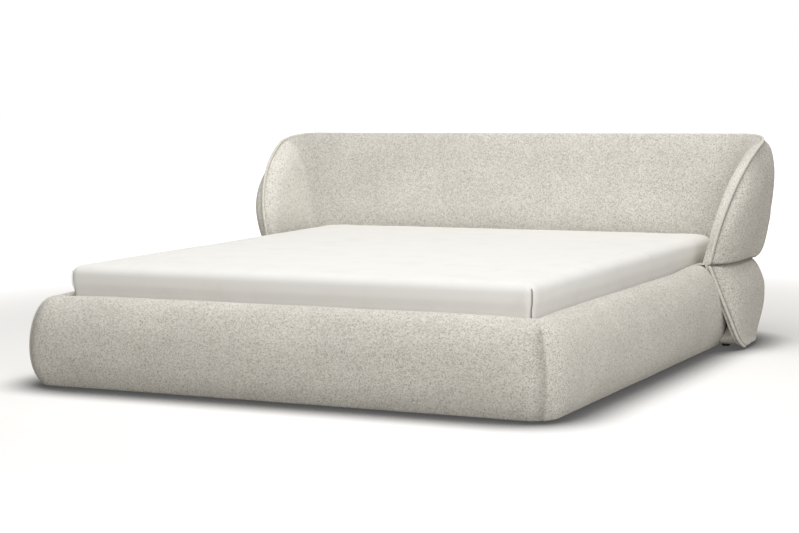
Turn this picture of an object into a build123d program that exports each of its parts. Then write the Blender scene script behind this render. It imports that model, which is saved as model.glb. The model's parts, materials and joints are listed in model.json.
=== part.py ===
import os
from math import atan2, cos, degrees, hypot, radians, sin, sqrt, tan

from build123d import *

os.makedirs("parts", exist_ok=True)

# An upholstered bed: a low base of three fat padded rails round a sunk mattress, and a headboard
# whose one padded face runs round both sides as wings, backed by an upper and a lower lobe.
# It stands on Z 0 with its head towards +Y, and the middle of its plan is the origin.

# Mattress
mattress_width = 1800
mattress_length = 2000
mattress_thickness = 220
mattress_corner_radius = 60
mattress_edge_radius = 24
cover_thickness = 5
mattress_gap = 4

# Base pads: each is a flat strip beside the mattress with half an ellipse outside it
side_rail_thickness = 127
foot_rail_thickness = 140
rail_height = 331
rail_bulge = 88
rail_bulge_half_height = 175
rail_inner_edge_radius = 22
glide_height = 15

# Headboard, outside
headboard_height = 840
headboard_depth = 190
headboard_width = 2260
wing_depth = 580
waist_height = 400
crease_height = 340
crease_depth = 65
lower_lobe_shrink = 10
least_bulge = 4
foot_lean = 47
foot_round_radius = 75
lobe_flank_length = 220
upper_corner_swell = 50
lower_corner_swell = 16

# Headboard, the surface that parts the front pad from the lobes, where the piping lies
seam_half_width_crease = 992
seam_half_width_top = 1121
seam_half_width_floor = 1108
seam_corner_radius = 150
seam_corner_radius_floor = 250
seam_setback = 71

# Headboard, the padded face towards the mattress
face_half_width_crease = 962
face_half_width_top = 1050
face_setback_top = 50
face_corner_radius = 140
rolled_edge_radius = 18
piping_radius = 5
piping_seat = 1.6
piping_break = 3
bend_share = 0.45
rail_end_gap = 2
rail_piping_gap = 0.6

# Headboard frame
shell_thickness = 12
shell_edge_inset = 60
lower_shell_floor_gap = 120
post_width = 70
post_depth = 36
post_half_spacing = 620
post_top_drop = 100
cross_rail_height = 60
base_board_thickness = 12
base_board_inset = 18
base_board_front_setback = 130
headboard_bolt_radius = 5
headboard_bolt_head_radius = 9
headboard_bolt_head_height = 6
headboard_bolt_bite = 30
headboard_bolt_low = 75
headboard_bolt_pitch = 60
headboard_glide_radius = 16
wing_glide_setback = 170

# Base frame
board_thickness = 28
board_height = 220
ledger_width = 25
ledger_height = 40
slat_thickness = 21
slat_width = 70
slat_count = 13
slat_end_gap = 2
slat_edge_margin = 40
tape_thickness = 1.5
tape_width = 25
tape_half_spacing = 400
bracket_flange = 60
bracket_thickness = 3
bracket_height = 90
bracket_drop = 5
corner_bolt_radius = 4
corner_bolt_head_radius = 7
corner_bolt_head_height = 4
corner_bolt_bite = 20
corner_bolt_offset = 38
rail_glide_radius = 13
rail_glide_end_margin = 90

# Centre support
beam_width = 40
beam_height = 60
beam_end_gap = 1
hanger_thickness = 3
hanger_width = 80
hanger_height = 105
hanger_seat_depth = 45
leg_spacing = 560
leg_radius = 16
leg_wall = 2
leg_plate_length = 90
leg_plate_thickness = 3
leg_foot_gap = 1
leg_nut_height = 14
foot_radius = 22
foot_height = 12
foot_taper = 4
foot_stem_radius = 5
foot_stem_length = 66

# Fits and the overrun that carries a cut through
bolt_clearance = 0.3
stem_clearance = 0.1
overrun = 40

# Places that follow from the sizes above
overall_length = foot_rail_thickness + mattress_length + 2 * mattress_gap + headboard_depth
foot_y = -overall_length / 2
rear_y = overall_length / 2
well_front_y = foot_y + foot_rail_thickness
well_rear_y = rear_y - headboard_depth
well_half_width = mattress_width / 2 + mattress_gap
well_mid_y = (well_front_y + well_rear_y) / 2
rail_top = glide_height + rail_height
side_crown_x = well_half_width + side_rail_thickness - rail_bulge
foot_crown_y = foot_y + rail_bulge
wing_tip_y = rear_y - wing_depth
seam_rear_y = well_rear_y + seam_setback
seam_depth_share = (rear_y - seam_rear_y) / wing_depth
wing_rise = (headboard_height - waist_height) / sqrt(1 - seam_depth_share**2)
board_outer_x = well_half_width + board_thickness
ledger_bottom = glide_height + board_height - slat_thickness * 2 - ledger_height - tape_thickness
slat_bottom = ledger_bottom + ledger_height
mattress_bottom = slat_bottom + slat_thickness
seam_lean_up = (seam_half_width_top - seam_half_width_crease) / (headboard_height - crease_height)
seam_lean_down = (seam_half_width_floor - seam_half_width_crease) / (crease_height - glide_height)
face_lean_back = face_setback_top / (headboard_height - crease_height)
face_lean_out = (face_half_width_top - face_half_width_crease) / (headboard_height - crease_height)
post_top = headboard_height - post_top_drop
foot_lean_angle = degrees(atan2(foot_lean, crease_height - glide_height))
seam_corner_x = seam_half_width_crease - seam_corner_radius
seam_corner_y = seam_rear_y - seam_corner_radius
corner_angles = [0, 22.5, 45, 67.5, 90]


def save(piece, name):
    piece.part.label = name
    export_step(piece.part, f"parts/{name}.step")


def add_box(low, high, mode=Mode.ADD):
    """Box between two opposite corners."""
    sides = [b - a for a, b in zip(low, high)]
    with Locations(low):
        Box(*sides, align=(Align.MIN, Align.MIN, Align.MIN), mode=mode)


# Mattress: a foam core in a fitted cover


def mattress_block(inset):
    with BuildPart() as block:
        with BuildSketch(Plane.XY.offset(mattress_bottom + inset)):
            with Locations((0, well_mid_y)):
                RectangleRounded(
                    mattress_width - 2 * inset,
                    mattress_length - 2 * inset,
                    mattress_corner_radius - inset,
                )
        extrude(amount=mattress_thickness - 2 * inset)
        ends = faces().sort_by(Axis.Z)
        fillet((ends[0].edges() + ends[-1].edges()), mattress_edge_radius - inset)
    return block.part


with BuildPart() as mattress_core:
    add(mattress_block(cover_thickness))
save(mattress_core, "mattress_core")

with BuildPart() as mattress_cover:
    add(mattress_block(0))
    add(mattress_core.part, mode=Mode.SUBTRACT)
save(mattress_cover, "mattress_cover")


# Headboard surfaces: the side profile, and blocks that end at the padded face and at the seam


def foot_centre(inset, foot_round):
    """Centre, in Y and Z, of the round between the wing's slanting front and its underside."""
    floor = glide_height + inset
    front = wing_tip_y + inset + tan(radians(foot_lean_angle)) * (crease_height - floor)
    return front + foot_round * tan(radians((90 - foot_lean_angle) / 2)), floor + foot_round


def side_profile(inset):
    """Region behind the wing's front edge, in Y and Z: a quarter ellipse over a rounded foot."""
    tip = wing_tip_y + inset
    top = waist_height + wing_rise - inset
    foot_round = foot_round_radius - inset / 2
    foot_y, foot_z = foot_centre(inset, foot_round)
    with BuildSketch(Plane.YZ.offset(-headboard_width)) as profile:
        with BuildLine():
            Line((tip, crease_height), (tip, waist_height))
            EllipticalCenterArc(
                (rear_y, waist_height),
                wing_depth - inset,
                wing_rise - inset,
                start_angle=180,
                arc_size=-90,
            )
            Line((rear_y, top), (rear_y + overrun, top))
            Line((rear_y + overrun, top), (rear_y + overrun, glide_height + inset))
            Line((rear_y + overrun, glide_height + inset), (foot_y, glide_height + inset))
            foot = CenterArc((foot_y, foot_z), foot_round, 270, foot_lean_angle - 90)
            Line(foot @ 1, (tip, crease_height))
        make_face()
    return profile.sketch


def wing_top(y):
    drop = 1 - ((rear_y - y) / wing_depth) ** 2
    return waist_height + wing_rise * sqrt(max(drop, 0))


def profile_solid(inset):
    with BuildPart() as solid:
        extrude(side_profile(inset), amount=2 * headboard_width)
    return solid.part


def bay_sketch(height, half_width, rear, corner_radius):
    """Plan of a block that reaches from ahead of the wing tips back to rear."""
    front = wing_tip_y - overrun - 2 * corner_radius
    with BuildSketch(Plane.XY.offset(height)) as plan:
        with Locations((0, (front + rear) / 2)):
            RectangleRounded(2 * half_width, rear - front, corner_radius)
    return plan.sketch


def seam_plan(height):
    """Half width and corner radius of the seam's plan at a height."""
    if height >= crease_height:
        return seam_half_width_crease + seam_lean_up * (height - crease_height), seam_corner_radius
    below = (crease_height - height) / (crease_height - glide_height)
    corner = seam_corner_radius + below * (seam_corner_radius_floor - seam_corner_radius)
    return seam_half_width_crease + seam_lean_down * (crease_height - height), corner


def seam_block(lower, outset):
    """Block whose sides and back are the seam, moved outwards by outset."""
    plans = []
    for height in (crease_height, 0 if lower else headboard_height + overrun):
        half_width, corner = seam_plan(height)
        rear = seam_rear_y + outset
        plans.append(bay_sketch(height, half_width + outset, rear, corner + outset))
    with BuildPart() as block:
        loft(plans, ruled=True)
    return block.part


def face_block():
    """Block whose sides and back are the padded face above the crease."""
    rise = headboard_height + overrun - crease_height
    top_half_width = face_half_width_crease + face_lean_out * rise
    top_rear_y = well_rear_y + face_lean_back * rise
    with BuildPart() as block:
        loft(
            [
                bay_sketch(crease_height, face_half_width_crease, well_rear_y, face_corner_radius),
                bay_sketch(crease_height + rise, top_half_width, top_rear_y, face_corner_radius),
            ],
            ruled=True,
        )
    return block.part


wing_region = profile_solid(0)
upper_seam = seam_block(False, 0)
lower_seam = seam_block(True, 0)


# Headboard frame: curved plywood shells on two posts with cross rails, over a base board

with BuildPart() as upper_shell_block:
    add(seam_block(False, shell_thickness))
    add(profile_solid(shell_edge_inset), mode=Mode.INTERSECT)

with BuildPart() as upper_shell:
    add(upper_shell_block.part)
    add(upper_seam, mode=Mode.SUBTRACT)
save(upper_shell, "headboard_upper_shell")

shell_rear_y = seam_rear_y + shell_thickness
post_rear_y = shell_rear_y + post_depth
post_bottom = glide_height + base_board_thickness


def post_corners(side):
    middle = side * post_half_spacing
    return (
        (middle - post_width / 2, shell_rear_y, post_bottom),
        (middle + post_width / 2, post_rear_y, post_top),
    )


def cross_rail_corners(bottom):
    reach = post_half_spacing - post_width / 2
    return (-reach, shell_rear_y, bottom), (reach, post_rear_y, bottom + cross_rail_height)


cross_rail_bottoms = {
    "headboard_top_rail": post_top - cross_rail_height,
    "headboard_bottom_rail": post_bottom,
}
bolt_heights = [glide_height + headboard_bolt_low + i * headboard_bolt_pitch for i in range(2)]
bolt_spots = [
    (side * post_half_spacing, height) for side in (-1, 1) for height in bolt_heights
]
head_board_front_y = well_rear_y - board_thickness


# The bolts run from inside the base, through the head board and the pad, into the posts
with BuildPart() as headboard_bolts:
    for x, height in bolt_spots:
        head_plane = Plane((x, head_board_front_y, height), z_dir=(0, 1, 0))
        with BuildSketch(head_plane):
            Circle(headboard_bolt_radius)
        extrude(amount=shell_rear_y + headboard_bolt_bite - head_board_front_y)
        with BuildSketch(head_plane):
            Circle(headboard_bolt_head_radius)
        extrude(amount=-headboard_bolt_head_height)
save(headboard_bolts, "headboard_bolts")

with BuildPart() as headboard_bolt_holes:
    for x, height in bolt_spots:
        with BuildSketch(Plane((x, head_board_front_y, height), z_dir=(0, 1, 0))):
            Circle(headboard_bolt_radius + bolt_clearance)
        extrude(amount=shell_rear_y + headboard_bolt_bite + bolt_clearance - head_board_front_y)

with BuildPart() as lower_shell_block:
    add(seam_block(True, shell_thickness))
    add(profile_solid(shell_edge_inset), mode=Mode.INTERSECT)
    add_box(
        (-headboard_width / 2, wing_tip_y, 0),
        (headboard_width / 2, rear_y, lower_shell_floor_gap),
        mode=Mode.SUBTRACT,
    )

with BuildPart() as lower_shell:
    add(lower_shell_block.part)
    add(lower_seam, mode=Mode.SUBTRACT)
    add(headboard_bolt_holes.part, mode=Mode.SUBTRACT)
save(lower_shell, "headboard_lower_shell")

for side, name in ((-1, "headboard_post_left"), (1, "headboard_post_right")):
    with BuildPart() as post:
        add_box(*post_corners(side))
        add(headboard_bolt_holes.part, mode=Mode.SUBTRACT)
    save(post, name)

for name, bottom in cross_rail_bottoms.items():
    with BuildPart() as cross_rail:
        add_box(*cross_rail_corners(bottom))
    save(cross_rail, name)

# Each lobe from the crease to its far edge: the share of its height, then the shares of the
# crease depth by which it is drawn in there at the side and at the back
upper_lobe_shares = [
    (0, 1, 1),
    (0.1, 0.52, 0.52),
    (0.25, 0.28, 0.28),
    (0.4, 0.12, 0.12),
    (0.55, 0.02, 0.02),
    (0.7, -0.02, 0.04),
    (0.82, 0.08, 0.12),
    (0.93, 0.36, 0.36),
]
lower_lobe_shares = [
    (0, 1, 1),
    (0.12, 0.44, 0.44),
    (0.3, 0.14, 0.14),
    (0.5, 0.15, 0.06),
    (0.7, 0.17, 0.13),
    (0.88, 0.25, 0.32),
    (1, 0.9, 0.6),
]

lower_lobe_rear_y = rear_y - lower_lobe_shrink - lower_lobe_shares[-1][2] * crease_depth
base_board_front_y = wing_tip_y + base_board_front_setback
base_board_half_width = seam_half_width_floor - base_board_inset
base_board_rear_y = lower_lobe_rear_y - base_board_inset

with BuildPart() as base_board:
    with BuildSketch(Plane.XY.offset(glide_height)):
        with BuildLine():
            FilletPolyline(
                (base_board_half_width, base_board_front_y),
                (base_board_half_width, base_board_rear_y),
                (-base_board_half_width, base_board_rear_y),
                (-base_board_half_width, base_board_front_y),
                radius=seam_corner_radius_floor,
            )
            Polyline(
                (-base_board_half_width, base_board_front_y),
                (-board_outer_x, base_board_front_y),
                (-board_outer_x, well_rear_y),
                (board_outer_x, well_rear_y),
                (board_outer_x, base_board_front_y),
                (base_board_half_width, base_board_front_y),
            )
        make_face()
    extrude(amount=base_board_thickness)
save(base_board, "headboard_base_board")

with BuildPart() as headboard_glides:
    wing_glide_x = (board_outer_x + base_board_half_width) / 2
    rear_glide_y = (well_rear_y + base_board_rear_y) / 2
    wing_spots = [(side * wing_glide_x, wing_tip_y + wing_glide_setback) for side in (-1, 1)]
    rear_spots = [(i * post_half_spacing, rear_glide_y) for i in (-1, 0, 1)]
    with BuildSketch():
        with Locations(*wing_spots, *rear_spots):
            Circle(headboard_glide_radius)
    extrude(amount=glide_height)
save(headboard_glides, "headboard_glides")


def cut_frame_from_pad():
    """Pockets for the posts, the cross rails and the base board."""
    for side in (-1, 1):
        add_box(*post_corners(side), mode=Mode.SUBTRACT)
    for bottom in cross_rail_bottoms.values():
        add_box(*cross_rail_corners(bottom), mode=Mode.SUBTRACT)
    add(base_board.part, mode=Mode.SUBTRACT)


# Piping: a covered cord on the seam, up one wing, along the top and down the other

piping_lift = piping_radius + piping_seat
ellipse_angles = [12, 24, 36, 48, 60]
foot_angles = [0, 22, 44, 66]


def seam_x(y, height):
    """Half width of the seam at a height, narrowing where it rounds the rear corner."""
    half_width, corner = seam_plan(height)
    along = max(y - (seam_rear_y - corner), 0)
    return half_width - corner + sqrt(corner**2 - along**2)


def lifted(y, height, normal):
    """Piping centre over the seam, moved out along a normal in Y and Z."""
    return seam_x(y, height), y + normal[0] * piping_lift, height + normal[1] * piping_lift


def upper_piping_points():
    points = [
        lifted(wing_tip_y, height, (-1, 0))
        for height in (crease_height + piping_break, waist_height)
    ]
    heights = []
    for angle in ellipse_angles:
        y = rear_y - wing_depth * cos(radians(angle))
        heights.append((y, waist_height + wing_rise * sin(radians(angle))))
    for angle in corner_angles[1:]:
        y = seam_corner_y + seam_corner_radius * sin(radians(angle))
        heights.append((y, wing_top(y)))
    for y, height in heights:
        slope_y = -(rear_y - y) / wing_depth**2
        slope_z = (height - waist_height) / wing_rise**2
        size = sqrt(slope_y**2 + slope_z**2)
        points.append(lifted(y, height, (slope_y / size, slope_z / size)))
    return points


def lower_piping_points():
    front = (-cos(radians(foot_lean_angle)), -sin(radians(foot_lean_angle)))
    break_y = wing_tip_y + tan(radians(foot_lean_angle)) * piping_break
    points = [lifted(break_y, crease_height - piping_break, front)]
    foot_y, foot_z = foot_centre(0, foot_round_radius)
    for angle in foot_angles:
        turn = radians(foot_lean_angle + angle)
        y = foot_y - foot_round_radius * cos(turn)
        height = foot_z - foot_round_radius * sin(turn)
        points.append(lifted(y, height, (-cos(turn), -sin(turn))))
    return points


def bend_radii(points):
    """Each bend's radius, as large as the shorter of its two runs allows."""
    radii = []
    for before, here, after in zip(points, points[1:], points[2:]):
        run_in = Vector(here) - Vector(before)
        run_out = Vector(after) - Vector(here)
        shorter = min(run_in.length, run_out.length)
        radii.append(bend_share * shorter / tan(radians(run_in.get_angle(run_out)) / 2))
    return radii


def piping_tube(points, radius=piping_radius):
    with BuildPart() as tube:
        with BuildLine() as route:
            FilletPolyline(*points, radius=bend_radii(points))
        start = Plane(points[0], z_dir=Vector(points[1]) - Vector(points[0]))
        with BuildSketch(start):
            Circle(radius)
        sweep(path=route.wires()[0])
    return tube.part


right_run = upper_piping_points()
left_run = [(-x, y, z) for x, y, z in reversed(right_run)]
with BuildPart() as upper_piping:
    add(piping_tube(right_run + left_run))
save(upper_piping, "headboard_piping_upper")

lower_right_run = lower_piping_points()
lower_left_run = [(-x, y, z) for x, y, z in lower_right_run]
with BuildPart() as left_piping:
    add(piping_tube(lower_left_run))
save(left_piping, "headboard_piping_lower_left")

with BuildPart() as right_piping:
    add(piping_tube(lower_right_run))
save(right_piping, "headboard_piping_lower_right")


# Headboard pads: the front pad with its wings, and the lower pad behind the side rails


def on_rolled_edge(edge):
    """True for the edges that run up the wing tips and along the top of the padded face."""
    for share in (0.1, 0.5, 0.9):
        point = edge.position_at(share)
        on_tip = point.Z < waist_height and abs(point.Y - wing_tip_y) < piping_seat
        on_arc = point.Z > waist_height and abs(point.Z - wing_top(point.Y)) < piping_seat
        if not on_tip and not on_arc:
            return False
    across = abs(edge.tangent_at(0.5).X) > cos(radians(45))
    return not (across and edge.center().Y < wing_tip_y + rolled_edge_radius)


with BuildPart() as front_pad:
    add(upper_seam)
    add(wing_region, mode=Mode.INTERSECT)
    add(face_block(), mode=Mode.SUBTRACT)
    face_edges = edges(Select.LAST).filter_by(on_rolled_edge)
    fillet(face_edges, rolled_edge_radius)
    add(upper_piping.part, mode=Mode.SUBTRACT)
save(front_pad, "headboard_front_pad")

with BuildPart() as lower_pad:
    add(lower_seam)
    add_box(
        (-board_outer_x, wing_tip_y - overrun, 0),
        (board_outer_x, well_rear_y, crease_height),
        mode=Mode.SUBTRACT,
    )
    add(wing_region, mode=Mode.INTERSECT)
    add(base_board.part, mode=Mode.SUBTRACT)
    add(headboard_bolt_holes.part, mode=Mode.SUBTRACT)
    add([left_piping.part, right_piping.part], mode=Mode.SUBTRACT)
save(lower_pad, "headboard_lower_pad")


# Headboard lobes: cross sections in upright planes, set round the seam from a wing tip to the back

side_reach = headboard_width / 2 - seam_half_width_crease
back_reach = rear_y - seam_rear_y
flank_run = seam_rear_y - seam_corner_radius_floor - wing_tip_y
approach_run = seam_corner_y - wing_tip_y - flank_run
tip_share = 0.01
flank_steps = 8
approach_steps = 2


def flank_share(distance):
    """How much of the full bulge a lobe has at a distance from the wing tip."""
    if distance >= lobe_flank_length:
        return 1
    return sqrt(1 - (1 - distance / lobe_flank_length) ** 2)


def full_reach(angle, upper):
    turn = radians(angle)
    swell = upper_corner_swell if upper else lower_corner_swell
    rounded = swell * sin(2 * turn) ** 1.5 * cos(turn) ** 2
    return side_reach * cos(turn) + back_reach * (1 - cos(turn)) + rounded


def seam_offset(x, y, angle, height):
    """How far out from a station's foot the seam lies at a height."""
    half_width, corner = seam_plan(height)
    side, ahead = half_width - corner - x, seam_rear_y - corner - y
    if angle == 0 and ahead >= 0:
        return half_width - x
    turn = radians(angle)
    along = side * cos(turn) + ahead * sin(turn)
    offset = along + sqrt(max(along**2 - hypot(side, ahead) ** 2 + corner**2, 0))
    if offset * cos(turn) < side:
        return (seam_rear_y - y) / sin(turn)
    return offset


def front_setback(height):
    """How far behind the wing tip the wing's front edge lies at a height."""
    if height >= crease_height:
        return 0
    foot_y, foot_z = foot_centre(0, foot_round_radius)
    if height < foot_z - foot_round_radius * sin(radians(foot_lean_angle)):
        return foot_y - sqrt(foot_round_radius**2 - (foot_z - height) ** 2) - wing_tip_y
    return (crease_height - height) * tan(radians(foot_lean_angle))


def lobe_section(x, y, angle, distance, upper, depth):
    """Closed section of a lobe: its bulge outside, and a straight side depth inside the seam."""
    turn = radians(angle)
    plane = Plane((x, y, 0), x_dir=(cos(turn), sin(turn), 0), z_dir=(sin(turn), -cos(turn), 0))
    shrink = 0 if upper else lower_lobe_shrink
    far = wing_top(y) if upper else glide_height
    seam = seam_offset(x, y, angle, far)
    if upper:
        far = wing_top(min(y + seam * sin(turn), seam_rear_y))
    edge = []
    for rise, at_side, at_back in upper_lobe_shares if upper else lower_lobe_shares:
        z = crease_height + rise * (far - crease_height)
        inside = seam_offset(x, y, angle, z)
        drawn = at_back + (at_side - at_back) * cos(turn)
        reach = full_reach(angle, upper) - shrink - drawn * crease_depth
        flank = flank_share(max(distance - front_setback(z), tip_share * flank_run))
        edge.append((inside + max(reach - inside, least_bulge) * flank, z))
    if upper:
        edge.append((seam, far))
    with BuildSketch(plane) as section:
        with BuildLine():
            Spline(*edge)
            if edge[-1] != (seam - depth, far):
                Line(edge[-1], (seam - depth, far))
            Line((seam - depth, far), (-depth, crease_height))
            Line((-depth, crease_height), edge[0])
        make_face()
    return section.sketch


def lobe_solid(upper):
    """Half lobes and their mirror: the flank ends on the flat seam, the corner is cut by it."""
    flank = []
    for i in range(flank_steps + 1):
        distance = flank_run * (tip_share + (1 - tip_share) * i / flank_steps)
        station = (seam_half_width_crease, wing_tip_y + distance, 0, distance)
        flank.append(lobe_section(*station, upper, 0))
    corner = []
    for i in range(approach_steps):
        distance = flank_run + approach_run * i / approach_steps
        station = (seam_half_width_crease, wing_tip_y + distance, 0, distance)
        corner.append(lobe_section(*station, upper, overrun))
    for angle in corner_angles:
        x = seam_corner_x + seam_corner_radius * cos(radians(angle))
        y = seam_corner_y + seam_corner_radius * sin(radians(angle))
        corner.append(lobe_section(x, y, angle, flank_run + approach_run, upper, overrun))
    with BuildPart() as rear:
        loft(corner)
        extrude(corner[-1], amount=seam_corner_x, dir=(-1, 0, 0))
        add(upper_seam if upper else lower_seam, mode=Mode.SUBTRACT)
    with BuildPart() as lobe:
        loft(flank)
        add(rear.part)
        mirror(about=Plane.YZ)
    return lobe.part


with BuildPart() as upper_bolster:
    add(lobe_solid(True))
    add(upper_shell_block.part, mode=Mode.SUBTRACT)
    add(upper_piping.part, mode=Mode.SUBTRACT)
    cut_frame_from_pad()
save(upper_bolster, "headboard_upper_bolster")

with BuildPart() as lower_bolster:
    add(lobe_solid(False))
    add(wing_region, mode=Mode.INTERSECT)
    add(lower_shell_block.part, mode=Mode.SUBTRACT)
    add(headboard_bolt_holes.part, mode=Mode.SUBTRACT)
    add([left_piping.part, right_piping.part], mode=Mode.SUBTRACT)
    cut_frame_from_pad()
save(lower_bolster, "headboard_lower_bolster")


# Base frame: boards, ledgers, brackets, centre beam, legs and slats

boards = {
    "left_side_board": (
        (-board_outer_x, well_front_y, glide_height),
        (-well_half_width, well_rear_y, glide_height + board_height),
    ),
    "right_side_board": (
        (well_half_width, well_front_y, glide_height),
        (board_outer_x, well_rear_y, glide_height + board_height),
    ),
    "foot_board": (
        (-board_outer_x, well_front_y - board_thickness, glide_height),
        (board_outer_x, well_front_y, glide_height + board_height),
    ),
    "head_board": (
        (-well_half_width, head_board_front_y, glide_height),
        (well_half_width, well_rear_y, slat_bottom),
    ),
}
bracket_top = ledger_bottom - bracket_drop
bracket_bottom = bracket_top - bracket_height
corners = {
    "foot_left": (-1, well_front_y, 1),
    "foot_right": (1, well_front_y, 1),
    "head_left": (-1, head_board_front_y, -1),
    "head_right": (1, head_board_front_y, -1),
}


def corner_bolt_axes():
    """Point on each board's face and the direction into the board, for every bracket bolt."""
    heights = [
        bracket_bottom + bracket_height / 4,
        bracket_top - bracket_height / 4,
    ]
    axes = []
    for side, end_y, inward in corners.values():
        for height in heights:
            along = (side * well_half_width, end_y + inward * corner_bolt_offset, height)
            across = (side * (well_half_width - corner_bolt_offset), end_y, height)
            axes.append((along, (side, 0, 0)))
            axes.append((across, (0, -inward, 0)))
    return axes


with BuildPart() as corner_bolts:
    for point, direction in corner_bolt_axes():
        outer = Plane(point, z_dir=direction).offset(-bracket_thickness)
        with BuildSketch(outer):
            Circle(corner_bolt_radius)
        extrude(amount=bracket_thickness + corner_bolt_bite)
        with BuildSketch(outer):
            Circle(corner_bolt_head_radius)
        extrude(amount=-corner_bolt_head_height)
save(corner_bolts, "corner_bolts")

with BuildPart() as corner_bolt_holes:
    for point, direction in corner_bolt_axes():
        with BuildSketch(Plane(point, z_dir=direction).offset(-bracket_thickness)):
            Circle(corner_bolt_radius + bolt_clearance)
        extrude(amount=bracket_thickness + corner_bolt_bite + bolt_clearance)

for name, (low, high) in boards.items():
    with BuildPart() as board:
        add_box(low, high)
        add(corner_bolt_holes.part, mode=Mode.SUBTRACT)
        if name == "head_board":
            add(headboard_bolt_holes.part, mode=Mode.SUBTRACT)
    save(board, name)

for name, (side, end_y, inward) in corners.items():
    with BuildPart() as bracket:
        with BuildSketch(Plane.XY.offset(bracket_bottom)):
            with BuildLine():
                corner = (side * well_half_width, end_y)
                near_x = corner[0] - side * bracket_thickness
                near_y = end_y + inward * bracket_thickness
                far_x = corner[0] - side * bracket_flange
                far_y = end_y + inward * bracket_flange
                Polyline(
                    corner,
                    (far_x, end_y),
                    (far_x, near_y),
                    (near_x, near_y),
                    (near_x, far_y),
                    (corner[0], far_y),
                    corner,
                )
            make_face()
        extrude(amount=bracket_height)
        add(corner_bolt_holes.part, mode=Mode.SUBTRACT)
    save(bracket, f"corner_bracket_{name}")

for side, name in ((-1, "left_ledger"), (1, "right_ledger")):
    inner_x = side * (well_half_width - ledger_width)
    outer_x = side * well_half_width
    with BuildPart() as ledger:
        add_box(
            (min(inner_x, outer_x), well_front_y, ledger_bottom),
            (max(inner_x, outer_x), head_board_front_y, slat_bottom),
        )
    save(ledger, name)

beam_bottom = slat_bottom - beam_height
hangers = {
    "beam_hanger_foot": (well_front_y, 1),
    "beam_hanger_head": (head_board_front_y, -1),
}

with BuildPart() as centre_beam:
    add_box(
        (-beam_width / 2, well_front_y + hanger_thickness + beam_end_gap, beam_bottom),
        (beam_width / 2, head_board_front_y - hanger_thickness - beam_end_gap, slat_bottom),
    )
save(centre_beam, "centre_beam")

for name, (end_y, inward) in hangers.items():
    plate_y = end_y + inward * hanger_thickness
    seat_y = end_y + inward * hanger_seat_depth
    top = slat_bottom - hanger_thickness
    with BuildPart() as hanger:
        add_box(
            (-hanger_width / 2, min(end_y, plate_y), top - hanger_height),
            (hanger_width / 2, max(end_y, plate_y), top),
        )
        add_box(
            (-hanger_width / 2, min(end_y, seat_y), beam_bottom - hanger_thickness),
            (hanger_width / 2, max(end_y, seat_y), beam_bottom),
        )
    save(hanger, name)

leg_names = {"foot": -1, "middle": 0, "head": 1}
leg_bottom = foot_height + leg_foot_gap
leg_top = beam_bottom - leg_plate_thickness

for name, step in leg_names.items():
    leg_y = well_mid_y + step * leg_spacing
    spot = Plane((0, leg_y, 0))
    with BuildPart() as centre_leg:
        with BuildSketch(spot.offset(leg_top)):
            Rectangle(beam_width, leg_plate_length)
        extrude(amount=leg_plate_thickness)
        with BuildSketch(spot.offset(leg_bottom)):
            Circle(leg_radius)
            Circle(leg_radius - leg_wall, mode=Mode.SUBTRACT)
        extrude(amount=leg_top - leg_bottom)
        with BuildSketch(spot.offset(leg_bottom)):
            Circle(leg_radius)
            Circle(foot_stem_radius + stem_clearance, mode=Mode.SUBTRACT)
        extrude(amount=leg_nut_height)
    save(centre_leg, f"centre_leg_{name}")

    with BuildPart() as screw_foot:
        with BuildSketch(spot):
            Circle(foot_radius)
        extrude(amount=foot_height - foot_taper)
        with BuildSketch(spot.offset(foot_height - foot_taper)):
            Circle(foot_radius)
        with BuildSketch(spot.offset(foot_height)):
            Circle(foot_radius - foot_taper)
        loft()
        with BuildSketch(spot.offset(foot_height)):
            Circle(foot_stem_radius)
        extrude(amount=foot_stem_length)
    save(screw_foot, f"screw_foot_{name}")

slat_first_y = well_front_y + slat_edge_margin
slat_span = head_board_front_y - slat_edge_margin - slat_width - slat_first_y
slat_half_length = well_half_width - slat_end_gap

for i in range(slat_count):
    slat_y = slat_first_y + i * slat_span / (slat_count - 1)
    with BuildPart() as slat:
        add_box(
            (-slat_half_length, slat_y, slat_bottom),
            (slat_half_length, slat_y + slat_width, mattress_bottom),
        )
    save(slat, f"slat_{i + 1:02d}")

for side, name in ((-1, "slat_tape_left"), (1, "slat_tape_right")):
    with BuildPart() as tape:
        with BuildSketch(Plane.XY.offset(slat_bottom - tape_thickness)):
            with Locations((side * tape_half_spacing, slat_first_y)):
                Rectangle(tape_width, slat_span + slat_width, align=(Align.CENTER, Align.MIN))
        extrude(amount=tape_thickness)
    save(tape, name)

with BuildPart() as rail_glides:
    board_mid_x = well_half_width + board_thickness / 2
    glide_ends = (well_front_y + rail_glide_end_margin, wing_tip_y - rail_glide_end_margin)
    glide_ys = (glide_ends[0], sum(glide_ends) / 2, glide_ends[1])
    side_spots = [(side * board_mid_x, y) for side in (-1, 1) for y in glide_ys]
    with BuildSketch():
        with Locations(*side_spots, (0, well_front_y - board_thickness / 2)):
            Circle(rail_glide_radius)
    extrude(amount=glide_height)
save(rail_glides, "base_glides")


# Base pads: one ring with rounded foot corners, parted by a mitre at each corner


def half_ellipse(plane):
    """The bulge's section right of the crown line, cut flat below."""
    with BuildSketch(plane) as section:
        with Locations((0, rail_top - rail_bulge_half_height)):
            Ellipse(rail_bulge, rail_bulge_half_height)
        with Locations((0, glide_height)):
            Rectangle(
                2 * rail_bulge, rail_height, align=(Align.MIN, Align.MIN), mode=Mode.INTERSECT
            )
    return section.sketch


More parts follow.
